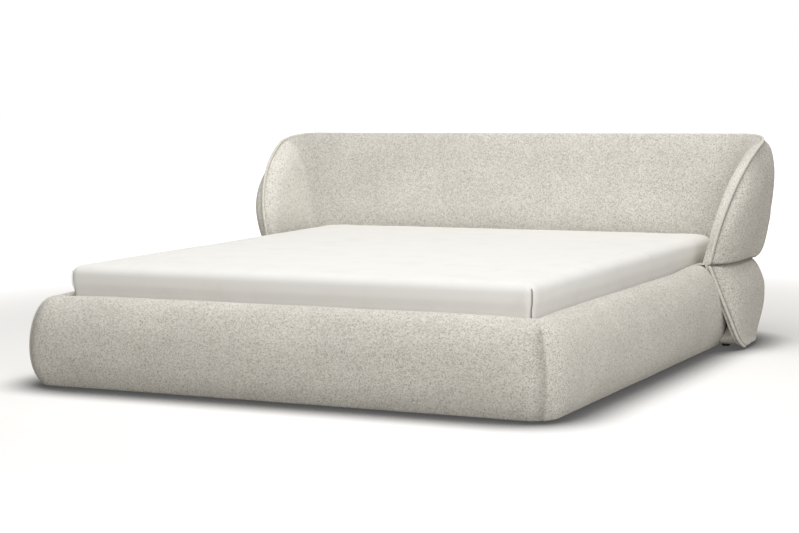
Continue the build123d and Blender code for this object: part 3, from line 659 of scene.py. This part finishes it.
lobes = {
    "side": 1.130, "rear": 1.169, "flank": 0.220, "cornerSwell": 0.050, "lowerSwell": 0.016,
    "creaseDepth": 0.065, "lowerShrink": 0.010, "leastBulge": 0.006, "halfGap": 0.0006,
    "slideFrom": 0.35,  # share of the wing after which the lower points slide back with the corner
    # share of the height, then how far the cover is drawn in there: along the wing, along the back, and
    # how much more at the corner
    "upperShares": [(0, 1, 1, 0), (0.02, 0.78, 0.78, 0), (0.1, 0.52, 0.52, 0), (0.25, 0.28, 0.28, 0),
                    (0.4, 0.12, 0.12, 0), (0.55, 0.02, 0.02, 0), (0.7, -0.02, 0.04, 0), (0.82, 0.08, 0.12, 0),
                    (0.93, 0.36, 0.36, 0)],
    "lowerShares": [(0, 1, 1, 0), (0.03, 0.76, 0.76, 0), (0.12, 0.44, 0.44, 0), (0.3, 0.14, 0.14, 0),
                    (0.45, 0.13, 0.06, 0), (0.57, 0.15, 0.08, 0.08), (0.7, 0.18, 0.13, 0.30),
                    (0.82, 0.24, 0.24, 0.55), (0.91, 0.34, 0.36, 0.60), (1, 0.9, 0.6, 0.25)],
    "rows": 36, "seamRows": (0.35, 0.65, 0.85, 1),  # closer by the piping, where the cover turns in
}


def flankShare(distance):
    if distance >= lobes["flank"]:
        return 1
    return math.sqrt(max(1 - (1 - distance / lobes["flank"]) ** 2, 0))


def footPlace():  # where the slanting front of the wing meets its rounded foot, and the round's centre
    lean = bed["footLean"] / (bed["crease"] - bed["under"])
    turn = math.atan(lean)
    r = bed["footRound"]
    middle = bed["wingTip"] + bed["footLean"] + r * math.tan(math.pi / 4 - turn / 2)
    return lean, turn, middle


def wingFoot(y):  # lowest height of the wing's outline at a place along the bed
    lean, turn, middle = footPlace()
    r = bed["footRound"]
    if y >= middle:
        return bed["under"]
    if y < middle - r * math.cos(turn):
        return bed["crease"] - (y - bed["wingTip"]) / lean
    return bed["under"] + r - math.sqrt(max(r * r - (middle - y) ** 2, 0))


def wingFront(z):  # how far back the wing's front lies at a height below the crease
    lean, turn, middle = footPlace()
    r = bed["footRound"]
    if z >= bed["under"] + r * (1 - math.sin(turn)):
        return bed["wingTip"] + (bed["crease"] - z) * lean
    return middle - math.sqrt(max(r * r - (bed["under"] + r - z) ** 2, 0))


def lobeColumn(part, share, upper):
    crease = bed["crease"]
    gap = lobes["halfGap"] if upper else -lobes["halfGap"]
    base = seamPoint(part, share, crease)
    distance, sideways, cornering = 1, 0, 0
    outward, reach = Vector((0, 1, 0)), lobes["rear"] - seam["rear"]
    if part == "corner":
        turn = math.pi / 2 * share
        outward = Vector((math.cos(turn), math.sin(turn), 0))
        sideways, cornering = math.cos(turn), math.sin(math.pi * share) ** 1.5
        reach = (lobes["side"] - seam["halfCrease"]) * outward.x + reach * (1 - outward.x)
        swell = lobes["cornerSwell" if upper else "lowerSwell"]
        reach += swell * math.sin(2 * turn) ** 1.5 * math.cos(turn) ** 2
    elif part == "wing":
        outward, sideways = Vector((1, 0, 0)), 1
        distance, reach = base.y - bed["wingTip"], lobes["side"] - seam["halfCrease"]
    if upper:
        far = onProfile(seamPoint, part, share)
    else:
        reach -= lobes["lowerShrink"]
        far = seamPoint(part, share, wingFoot(base.y) if part == "wing" else bed["under"])
    points = []
    for rise, atSide, atBack, atCorner in lobes["upperShares" if upper else "lowerShares"]:
        drawn = atBack + (atSide - atBack) * sideways + atCorner * cornering
        z = crease + gap + rise * (far.z - crease - gap)
        on = seamPoint(part, share, z)
        if part == "wing":
            slide = seamPoint("corner", 0, z).y - seamPoint("corner", 0, crease).y
            on.y = base.y + slide * ease((share - lobes["slideFrom"]) / (1 - lobes["slideFrom"]))
        inside = (on - base).xy.dot(outward.xy)
        bulge = max(reach - drawn * lobes["creaseDepth"] - inside, lobes["leastBulge"]) * flankShare(distance)
        points.append(Vector((base.x, base.y, z)) + outward * (inside + bulge)
                      + (Vector((on.x - base.x, on.y - base.y, 0)) - outward * inside) * rise)
    points.append(far if upper else far.lerp(points[-1], 0.3))
    line = through(points, lobes["rows"])
    return line[:-1] + [line[-2].lerp(line[-1], t) for t in lobes["seamRows"]]


def lobeUnderside(column, part, share):  # the cover folds under and stops short of the base board
    foot = column[-1]
    inside = seamPoint(part, share, foot.z)
    inward = seamPoint(part, share, bed["crease"]) - inside
    inward.z = 0
    inward = inward.normalized() if inward.length > 1e-6 else Vector((-1, 0, 0))
    if part == "wing":
        inside.y = foot.y
    return [foot.lerp(inside, 0.5), inside, inside + inward * 0.02]


def behindLobes(p):
    return Vector((max(min(p.x, 0.9), -0.9), max(min(p.y, 0.95), 0.7), p.z))


lobeStations = stations(0, 44, 2, 18, 40)
upperHalf = [lobeColumn(*station, True) for station in lobeStations]
lowerHalf = [lobeColumn(*station, False) for station in lobeStations]
lowerHalf = [column + lobeUnderside(column, *station) for column, station in zip(lowerHalf, lobeStations)]
upperLobe = gridPiece("headboardUpperLobe", [wholeWidth(upperHalf)], boucleCloth, behindLobes)
lowerLobe = gridPiece("headboardLowerLobe", [wholeWidth(lowerHalf)], boucleCloth, behindLobes)
print("headboard lobes shaped")


# Lower pad: a ledge beside the mattress, and the narrow front behind each rail's end

lowerPad = {
    "wallX": 0.9328, "wallY": 0.9797, "wallFoot": 0.236, "top": 0.3392, "edge": 0.010, "tuck": 0.03,
    "railGap": 0.0015, "leastFront": 0.002,  # clear of the rail, and how narrow the front may get
    "frontDepth": 0.055, "frontLow": 0.03, "frontTurn": 0.05, "frontRound": 0.012,
    "seamSink": 0.004, "seamReach": 0.015,
}


def ledgeColumn(part, share):
    top = lowerPad["top"]
    outer = facePoint(part, share, top)
    if part == "back":
        inner = Vector((lowerPad["wallX"] * (1 - share), lowerPad["wallY"], top))
    elif part == "corner":
        inner = Vector((lowerPad["wallX"], lowerPad["wallY"], top))
        if share < 0.5:
            inner.y = outer.y + (lowerPad["wallY"] - outer.y) * share * 2
    else:
        inner = Vector((lowerPad["wallX"], outer.y, top))
    away = (outer - inner).normalized()
    column = [outer + away * lowerPad["tuck"], outer]
    for sine, cosine in quarterTurn(4):
        column.append(inner + away * lowerPad["edge"] * (1 - sine)
                      - Vector((0, 0, lowerPad["edge"] * (1 - cosine))))
    column.append(Vector((inner.x, inner.y, lowerPad["wallFoot"])))
    return column


def railOuter(r, z):  # how far out the rail's bulge reaches at a height, where it meets the wing
    return r["crownX"] + r["bulge"] * railReach(r, z - r["headRise"] * min(z / r["top"], 1))


def frontColumns(p):
    # the narrow front between the rail and the piping turns back into the gap beside the rail
    columns, low = [], bed["under"] + 0.0005
    for i in range(18):
        t = i / 17
        column = []
        for k in range(30):
            z = low + (p["top"] - low) * k / 29
            edge = seamHalf(z)
            wall = min(railOuter(rails, z) + p["railGap"], edge - p["leastFront"])
            x = wall + (edge - wall) * t
            turned = min(max((z - p["frontLow"]) / p["frontTurn"], 0), 1)
            back = (p["frontDepth"] * turned + p["frontRound"]) * (1 - t) ** 1.6
            back += p["seamSink"] * max(1 - (edge - x) / p["seamReach"], 0) ** 2
            column.append(Vector((x, wingFront(z) + back, z)))
        columns.append(column)
    return columns


ledge = [ledgeColumn(*station) for station in stations(0, 12, 1, 12, 30)]
padFront = frontColumns(lowerPad)
lowerPadCover = gridPiece("headboardLowerPadCover", [wholeWidth(ledge), padFront, mirrored(padFront)],
                          boucleCloth, lambda p: p + Vector((0, 0.1, -0.1)))
print("headboard lower pad shaped")


# Piping: a cord in a strip of the same cloth, sewn into the seam

piping = {
    "radius": 0.006, "around": 12, "breakAtCrease": 0.002,
    "lift": 0.0052, "backLift": -0.0025,  # out of the seam: it lies lower along the back than on the wings
}


def pipingTube(name, path):
    rings, count = [], piping["around"]
    side = heading(path, 0).normalized().orthogonal().normalized()
    for i, p in enumerate(path):
        along = heading(path, i).normalized()
        side = (side - along * side.dot(along)).normalized()
        across = along.cross(side)
        r = piping["radius"] if 0 < i < len(path) - 1 else piping["radius"] * 0.6
        turns = [math.tau * k / count for k in range(count + 1)]
        rings.append([p + side * r * math.cos(turn) + across * r * math.sin(turn) for turn in turns])
    caps = [[[p] * (count + 1), ring] for p, ring in ((path[0], rings[0]), (path[-1], rings[-1]))]
    return gridPiece(name, [rings] + caps, pipingCloth,
                     lambda q: min(path, key=lambda p: (p - q).length_squared))


def upperPipingPath():
    path = []
    for part, share in edgeStations:
        p = edgeAt(seamPoint, part, share)
        if part == "front":
            p.z = max(p.z, bed["crease"] + piping["breakAtCrease"])
            away = Vector((0, -1, 0))
        else:
            away = Vector((0, -(bed["rear"] - p.y) / bed["wingDepth"] ** 2,
                           (p.z - bed["waist"]) / bed["wingRise"] ** 2)).normalized()
        sunk = {"corner": share, "back": 1}.get(part, 0)
        path.append(p + away * (piping["lift"] + (piping["backLift"] - piping["lift"]) * sunk))
    return path


def lowerPipingPath():
    lean, turn, middle = footPlace()
    r, high = bed["footRound"], bed["crease"] - piping["breakAtCrease"]
    line = [Vector((0, wingFront(high), high))]
    for k in range(20):  # the round stops short of lying flat on the floor
        a = turn + (math.radians(84) - turn) * k / 19
        line.append(Vector((0, middle - r * math.cos(a), bed["under"] + r * (1 - math.sin(a)))))
    line = evenly(line, 60)
    path = []
    for i, p in enumerate(line):
        along = heading(line, i).normalized()
        lifted = p + Vector((0, along.z, -along.y)) * piping["lift"]  # forwards and down, away from the pad
        path.append(Vector((seamHalf(p.z), lifted.y, max(lifted.z, piping["radius"]))))
    return path


halfPath = upperPipingPath()
wholePath = evenly(halfPath + flipped(reversed(halfPath[:-1])), 330)
upperPiping = pipingTube("upperPiping", wholePath)
lowerPath = lowerPipingPath()
rightPiping = pipingTube("lowerPipingRight", lowerPath)
leftPiping = pipingTube("lowerPipingLeft", flipped(lowerPath))
print("piping laid")


# Mattress: a block in a fitted cover, soft at its edges, with a seam up each corner

mattress = {
    "halfX": 0.8975, "y0": -1.0225, "y1": 0.9725, "z0": 0.2135, "z1": 0.4315,
    "footCorner": 0.034, "headCorner": 0.075, "edge": 0.036, "lowerEdge": 0.020, "crown": 0.0005,
    "bulge": 0.009, "bulgeFrom": 0.338, "bulgeOver": 0.03,  # above the rails the sides stand out a little
    "across": 60, "along": 66, "cornerSteps": 10,
    "seamPinch": 0.004, "seamFrom": 0.300, "seamTo": 0.412,
    "threadWide": 0.0018, "threadThick": 0.0014, "threadLift": 0.0010,
}


def standOut(m, z):  # how far the side bulges at a height
    return m["bulge"] * ease((z - m["bulgeFrom"]) / m["bulgeOver"])


def mattressOutline(m, inset):
    x, y0, y1 = m["halfX"] - inset, m["y0"] + inset, m["y1"] - inset
    a, b = max(m["footCorner"] - inset, 0), max(m["headCorner"] - inset, 0)
    corners = [(x - a, y0 + a, a, -90), (x - b, y1 - b, b, 0),
               (-x + b, y1 - b, b, 90), (-x + a, y0 + a, a, 180)]
    line = []
    for i, (cx, cy, r, first) in enumerate(corners):
        for k in range(m["cornerSteps"] + 1):
            turn = math.radians(first + 90 * k / m["cornerSteps"])
            if inset < 0.004:  # drawn in at the seam, but not on the rounded edges
                pinch = m["seamPinch"] * max(1 - abs(k - m["cornerSteps"] / 2) / 1.5, 0)
            else:
                pinch = 0
            line.append(Vector((cx + (r - pinch) * math.cos(turn), cy + (r - pinch) * math.sin(turn), 0)))
        nextX, nextY, nextR = corners[(i + 1) % 4][:3]
        end = Vector((nextX + nextR * math.cos(turn), nextY + nextR * math.sin(turn), 0))
        steps = m["along"] if i % 2 == 0 else m["across"]
        begin = line[-1]
        line += [begin.lerp(end, k / steps) for k in range(1, steps)]
    line.append(line[0].copy())
    return line


def mattressGrids(m):
    edge, lowerEdge, deep = m["edge"], m["lowerEdge"], m["headCorner"]
    low, high, top = m["z0"] + lowerEdge, m["z1"] - edge, m["z1"] + m["crown"]
    levels = [(deep, m["z0"])]  # inset and height of each loop, from the bottom up
    for sine, cosine in quarterTurn(4):
        levels.append((lowerEdge * (1 - sine), m["z0"] + lowerEdge * (1 - cosine)))
    for k in range(1, 10):
        z = low + (high - low) * k / 10
        levels.append((-standOut(m, z), z))
    for sine, cosine in quarterTurn(8):
        levels.append(((edge + m["bulge"]) * (1 - cosine) - m["bulge"], high + edge * sine))
    levels += [((edge + deep) / 2, m["z1"] + 0.8 * m["crown"]), (deep, top)]
    loops = [[p + Vector((0, 0, z)) for p in mattressOutline(m, inset)] for inset, z in levels]
    grids = [[[loop[i] for loop in loops] for i in range(len(loops[0]))]]
    for z in (m["z0"], top):
        flat = []
        for i in range(m["across"] + 1):
            x = (m["halfX"] - deep) * (2 * i / m["across"] - 1)
            flat.append([Vector((x, m["y0"] + deep + (m["y1"] - m["y0"] - 2 * deep) * k / m["along"], z))
                         for k in range(m["along"] + 1)])
        grids.append(flat)
    return grids


mattressCover = gridPiece("mattressTicking", mattressGrids(mattress), tickingCloth,
                          lambda p: Vector((p.x * 0.9, p.y * 0.9, 0.32)), weld=0.0004)


def mattressSeams(m):
    grids = []
    for sx in (-1, 1):
        for y, r, sy in ((m["y0"], m["footCorner"], -1), (m["y1"], m["headCorner"], 1)):
            out = Vector((sx, sy, 0)).normalized()
            side = Vector((-out.y, out.x, 0))
            middle = Vector((sx * (m["halfX"] - r), y - sy * r, 0))
            columns = []
            for k in range(5):
                turn = math.pi * k / 4
                across = side * m["threadWide"] * math.cos(turn) + out * m["threadThick"] * math.sin(turn)
                column = []
                for j in range(25):
                    z = m["seamFrom"] + (m["seamTo"] - m["seamFrom"]) * j / 24
                    over = max(z - m["z1"] + m["edge"], 0) / m["edge"]
                    reach = r - m["seamPinch"] + standOut(m, z) + m["threadLift"]
                    reach -= (m["edge"] + m["bulge"]) * (1 - math.sqrt(1 - over * over))
                    column.append(middle + out * reach + Vector((0, 0, z)) + across)
                columns.append(column)
            grids.append(columns)
    return grids


mattressThread = gridPiece("mattressCornerSeams", mattressSeams(mattress), seamThread,
                           lambda p: Vector((0, 0, p.z)))
mattressThread.parent = mattressCover
print("mattress shaped")


# Painted shade and painted highlight, kept in a mesh attribute: the cloth's colour is darkened along each
# seam, where it turns in to the stitches, along the crease between the lobes, at the mitres and in the face's
# inner corners, and made paler on the wings' rolled strips

# strengths and reaches in m of the painted shade and painted highlight
shades = {
    "pipingReach": 0.010, "lowerPipingReach": 0.009, "creaseReach": 0.007, "flat": 0.004,
    "pipingEnd": 0.97,  # y; along the back both covers meet flat on the seam, so only the wings are shaded
    "stitchReach": 0.003, "stitch": 0.3, "dipReach": 0.036, "mitreShade": 0.42, "mitreTop": 0.29,
    "corner": 0.26, "cornerAt": 0.45, "cornerReach": 0.16, "low": 0.22, "lowRise": 0.13, "lowFrom": 0.40,
    "rollHighlight": 0.22, "highlightFrom": -0.05, "highlightOver": 0.07, "highlightEnd": 0.93,
}


def shadeLayer(mesh):
    return mesh.attributes.get("paintedShade") or mesh.attributes.new("paintedShade", "FLOAT", "POINT")


def shadeSeams(piece, path, reach, most=1.0):
    tree = kdtree.KDTree(len(path))
    for i, p in enumerate(path):
        tree.insert(p, i)
    tree.balance()
    shade = shadeLayer(piece.data)
    for i, v in enumerate(piece.data.vertices):
        near = max(1 - (tree.find(v.co)[2] - shades["flat"]) / reach, 0)
        shade.data[i].value = max(shade.data[i].value, most * min(near, 1))


def shadeFace(s):  # painted shade in the two inner corners and just above the mattress, where less light falls on the face
    shade = shadeLayer(facePad.data)
    for i, v in enumerate(facePad.data.vertices):
        corner = facePoint("corner", s["cornerAt"], v.co.z)
        cornerShade = ease(1 - math.hypot(abs(v.co.x) - corner.x, v.co.y - corner.y) / s["cornerReach"])
        low = max(1 - (v.co.z - mattress["z1"]) / s["lowRise"], 0) if v.co.z > s["lowFrom"] else 1
        value = max(s["corner"] * cornerShade, s["low"] * low * low)
        strip = abs(v.co.x) - faceHalf(v.co.z)  # painted highlight: on the wings the rolled strip is made a little paler, where it faces the light
        if strip > s["highlightFrom"] and v.co.y < s["highlightEnd"]:
            value -= s["rollHighlight"] * min((strip - s["highlightFrom"]) / s["highlightOver"], 1)
        shade.data[i].value = value


creaseHalf = [column[0] for column in upperHalf]
creaseLine = evenly(creaseHalf + flipped(reversed(creaseHalf[:-1])), 500)
# painted shade along the piping on the wings and along the crease between the lobes
wingPiping = [p for p in evenly(wholePath, 1600) if p.y < shades["pipingEnd"]]
shadeSeams(upperLobe, wingPiping, shades["pipingReach"])
for piece in (lowerLobe, lowerPadCover):
    shadeSeams(piece, lowerPath + flipped(lowerPath), shades["lowerPipingReach"])
for piece in (upperLobe, lowerLobe):
    shadeSeams(piece, creaseLine, shades["creaseReach"])
mitreLine = [p for p in evenly(leftSide[-1][6:], 300) if p.z < shades["mitreTop"]]
# painted shade: a thin darker line in the groove of the sewn mitre
for piece in (leftRail, rightRail, footRail):
    shadeSeams(piece, mitreLine + flipped(mitreLine), shades["stitchReach"], shades["stitch"])
# painted shade: the foot's cover is also darkened in a wider band beside the stitches, where its front turns
# away from the light
shadeSeams(footRail, mitreLine + flipped(mitreLine), shades["dipReach"], shades["mitreShade"])
shadeFace(shades)
print("seams shaded")


# Slat tapes: the straps that hold the slats apart, dipping a little between them

tapes = {"sag": 0.002, "dips": 12, "steps": 130}


def tapePiece(name, node):
    low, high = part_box(node)
    middle, steps = (low + high) / 2, tapes["steps"]
    grids = []
    for z in (high.z, low.z):
        columns = []
        for x in (low.x, middle.x, high.x):
            line = []
            for k in range(steps + 1):
                sag = tapes["sag"] * math.sin(math.pi * tapes["dips"] * k / steps) ** 2
                line.append(Vector((x, low.y + (high.y - low.y) * k / steps, z - sag)))
            columns.append(line)
        grids.append(columns)
    grids += [[grids[0][i], grids[1][i]] for i in (0, 2)]
    return gridPiece(name, grids, webbingTape, lambda p: Vector((middle.x, p.y, middle.z)))


leftTape = tapePiece("slatTapeLeft", "slat_tape_left")
rightTape = tapePiece("slatTapeRight", "slat_tape_right")


# Padding: pressure swells each cover between its seams, and a cap keeps its size

padding = {
    "frames": 20, "pressure": 4.0, "quality": 4,
    "railInside": 0.945, "railHem": 0.03, "railEnd": 0.57, "footInside": -1.083,
    "headTop": 0.80, "headBack": 0.98, "mattressFoot": 0.24,
}


def railHeld(p):
    return abs(p.x) < padding["railInside"] or p.z < padding["railHem"] or p.y > padding["railEnd"]


def footHeld(p):
    return p.y > padding["footInside"] or p.z < padding["railHem"]


def headHeld(p):  # along the top of the back, where the piping lies in the seam
    return p.z > padding["headTop"] and p.y > padding["headBack"]


covers = [
    # cover, the furthest that a point may move in metres, and which points are held
    (leftRail, 0.005, railHeld),
    (rightRail, 0.005, railHeld),
    (footRail, 0.005, footHeld),
    (facePad, 0.0025, headHeld),
    (upperLobe, 0.004, headHeld),
    (lowerLobe, 0.004, lambda p: p.z < padding["railHem"]),
    (mattressCover, 0.004, lambda p: p.z < padding["mattressFoot"]),
]


def openEdges(mesh):
    used = {}
    for polygon in mesh.polygons:
        for key in polygon.edge_keys:
            used[key] = used.get(key, 0) + 1
    return {v for key, count in used.items() if count == 1 for v in key}


def pad(pieces):
    before, after = {}, {}
    for piece, cap, held in pieces:
        mesh = piece.data
        pins = openEdges(mesh) | {v.index for v in mesh.vertices if held(v.co)}
        piece.vertex_groups.new(name="sewn").add(sorted(pins), 1.0, "REPLACE")
        before[piece.name] = [v.co.copy() for v in mesh.vertices]
        cloth = piece.modifiers.new("padding", "CLOTH")
        cloth.settings.quality = padding["quality"]
        cloth.settings.use_pressure = True
        cloth.settings.uniform_pressure_force = padding["pressure"]
        cloth.settings.vertex_group_mass = "sewn"
        cloth.settings.effector_weights.gravity = 0
        cloth.point_cache.frame_start, cloth.point_cache.frame_end = 1, padding["frames"]
    for f in range(1, padding["frames"] + 1):
        bpy.context.scene.frame_set(f)
    for piece, cap, held in pieces:
        swollen = piece.evaluated_get(bpy.context.evaluated_depsgraph_get()).to_mesh()
        after[piece.name] = [v.co.copy() for v in swollen.vertices]
    for piece, cap, held in pieces:
        piece.modifiers.clear()
        for v, start, end in zip(piece.data.vertices, before[piece.name], after[piece.name]):
            move = end - start
            v.co = start + move * min(cap / move.length if move.length > 0 else 1, 1)
        piece.data.update()
    bpy.context.scene.frame_set(1)


pad(covers)
print("covers padded")


foam = {  # how far the surface wanders in m, and how close the waves are per m
    "covers": (0.0016, 0.0006), "mattress": (0.0012, 0.0004), "closeness": (3.1, 11.0),
}


def settle(piece, coarse, fine):  # the slight unevenness of foam under cloth
    mesh, (wide, close) = piece.data, foam["closeness"]
    fixed = openEdges(mesh)
    normals = [v.normal.copy() for v in mesh.vertices]
    for v, n in zip(mesh.vertices, normals):
        if v.index not in fixed:
            v.co += n * (coarse * noise.noise(v.co * wide) + fine * noise.noise(v.co * close))
    mesh.update()
    smooth = piece.modifiers.new("smooth", "SUBSURF")
    smooth.levels = smooth.render_levels = 1


for piece in (leftRail, rightRail, footRail, facePad, upperLobe, lowerLobe):
    settle(piece, *foam["covers"])
settle(mattressCover, *foam["mattress"])
print("covers settled")


# What rides on what, and which CAD solids the covers stand for

replacements = {
    leftRail: ["left_rail_pad"], rightRail: ["right_rail_pad"], footRail: ["foot_rail_pad"],
    facePad: ["headboard_front_pad"], upperLobe: ["headboard_upper_bolster"],
    lowerLobe: ["headboard_lower_bolster"], lowerPadCover: ["headboard_lower_pad"],
    upperPiping: ["headboard_piping_upper"], rightPiping: ["headboard_piping_lower_right"],
    leftPiping: ["headboard_piping_lower_left"],
    leftTape: ["slat_tape_left"], rightTape: ["slat_tape_right"],
    mattressCover: ["mattress_cover", "mattress_core"],
}
for piece, nodes in replacements.items():
    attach(piece, "mattress" if piece is mattressCover else "bed_frame")
    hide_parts(*nodes)


# Studio: the floor, the world and two soft lamps

studio = {
    "worldLevel": 0.38, "worldColour": "FFFBF5",
    "overhead": 117, "overheadSize": 4.5, "overheadPlace": (0.1, -0.7, 4.0), "overheadAim": (0, 0, 0),
    "front": 98, "frontSize": 3.0, "frontPlace": (4.3, -4.3, 1.9), "frontAim": (0.3, 0, 0.3),
    "floorHalf": 40, "floorSeen": "FDFDFD", "floorBounce": "BEBDBB",  # seen white, lights the bed as grey
    "floorGlow": 0.08, "glowFrom": 1.9, "glowTo": 5.5,  # the floor goes over to plain white away from the bed
    "contactReach": 0.18,  # m, how far from the bed the painted contact shadow darkens the floor
    "contactClosed": 0.45, "contactOpen": 0.95, "contactDark": 0.06,
}


def softbox(name):
    data = bpy.data.lights.new(name + "Softbox", "AREA")
    data.shape = "SQUARE"
    data.size, data.energy = studio[name + "Size"], studio[name]
    lamp = addObject(name + "Softbox", data)
    lamp.location = studio[name + "Place"]
    aim = Vector(studio[name + "Aim"]) - Vector(studio[name + "Place"])
    lamp.rotation_euler = aim.to_track_quat("-Z", "Y").to_euler()


def makeFloor():
    material, tree, place = newMaterial("paintedStudioFloor")
    path = addNode(tree, "LightPath")
    # painted contact shadow: ambient occlusion darkens the floor's seen colour near the bed
    closed = addNode(tree, "AmbientOcclusion", {"Distance": studio["contactReach"], "samples": 8})
    dark = addNode(tree, "MapRange", {
        "From Min": studio["contactClosed"], "From Max": studio["contactOpen"],
        "To Min": studio["contactDark"],
    }, {"Value": closed.outputs["AO"]})
    shaded = addNode(tree, "VectorMath", {"operation": "SCALE", 0: hexColour(studio["floorSeen"])[:3]},
                     {"Scale": dark})
    white = addNode(tree, "BsdfDiffuse", {}, {"Color": shaded})
    grey = addNode(tree, "BsdfDiffuse", {"Color": hexColour(studio["floorBounce"])})
    paint = addNode(tree, "MixShader", {}, {0: path.outputs["Is Camera Ray"], 1: grey, 2: white})
    away = addNode(tree, "VectorMath", {"operation": "LENGTH"}, {0: place})
    fade = addNode(tree, "MapRange", {
        "interpolation_type": "SMOOTHSTEP", "From Min": studio["glowFrom"], "From Max": studio["glowTo"],
        "To Min": studio["floorGlow"], "To Max": 1.0,
    }, {"Value": away.outputs["Value"]})
    seen = addNode(tree, "Math", {"operation": "MULTIPLY"}, {0: path.outputs["Is Camera Ray"], 1: fade})
    glow = addNode(tree, "Emission", {"Color": hexColour("FFFFFF")}, {"Strength": seen})
    both = addNode(tree, "AddShader", {}, {0: paint, 1: glow})
    addNode(tree, "OutputMaterial", {}, {"Surface": both})
    mesh = bpy.data.meshes.new("studioFloor")
    r = studio["floorHalf"]
    mesh.from_pydata([(-r, -r, 0), (r, -r, 0), (r, r, 0), (-r, r, 0)], [], [(0, 1, 2, 3)])
    mesh.materials.append(material)
    addObject("studioFloor", mesh)


def makeWorld():
    world = bpy.data.worlds.new("studioWorld")
    bpy.context.scene.world = world
    world.use_nodes = True
    tree = world.node_tree
    tree.nodes.clear()
    path = addNode(tree, "LightPath")
    seen = addNode(tree, "Math", {"operation": "MAXIMUM"},
                   {0: path.outputs["Is Camera Ray"], 1: path.outputs["Is Glossy Ray"]})
    shown = addNode(tree, "Math", {"operation": "MAXIMUM"},
                    {0: seen, 1: path.outputs["Is Transmission Ray"]})
    dim = addNode(tree, "Background", {
        "Color": hexColour(studio["worldColour"]), "Strength": studio["worldLevel"],
    })
    white = addNode(tree, "Background", {"Color": hexColour("FFFFFF"), "Strength": 1.0})
    mix = addNode(tree, "MixShader", {}, {0: shown, 1: dim, 2: white})
    addNode(tree, "OutputWorld", {}, {"Surface": mix})


makeFloor()
makeWorld()
softbox("overhead")
softbox("front")
bpy.context.scene.view_settings.view_transform = "Standard"
print("studio lit")
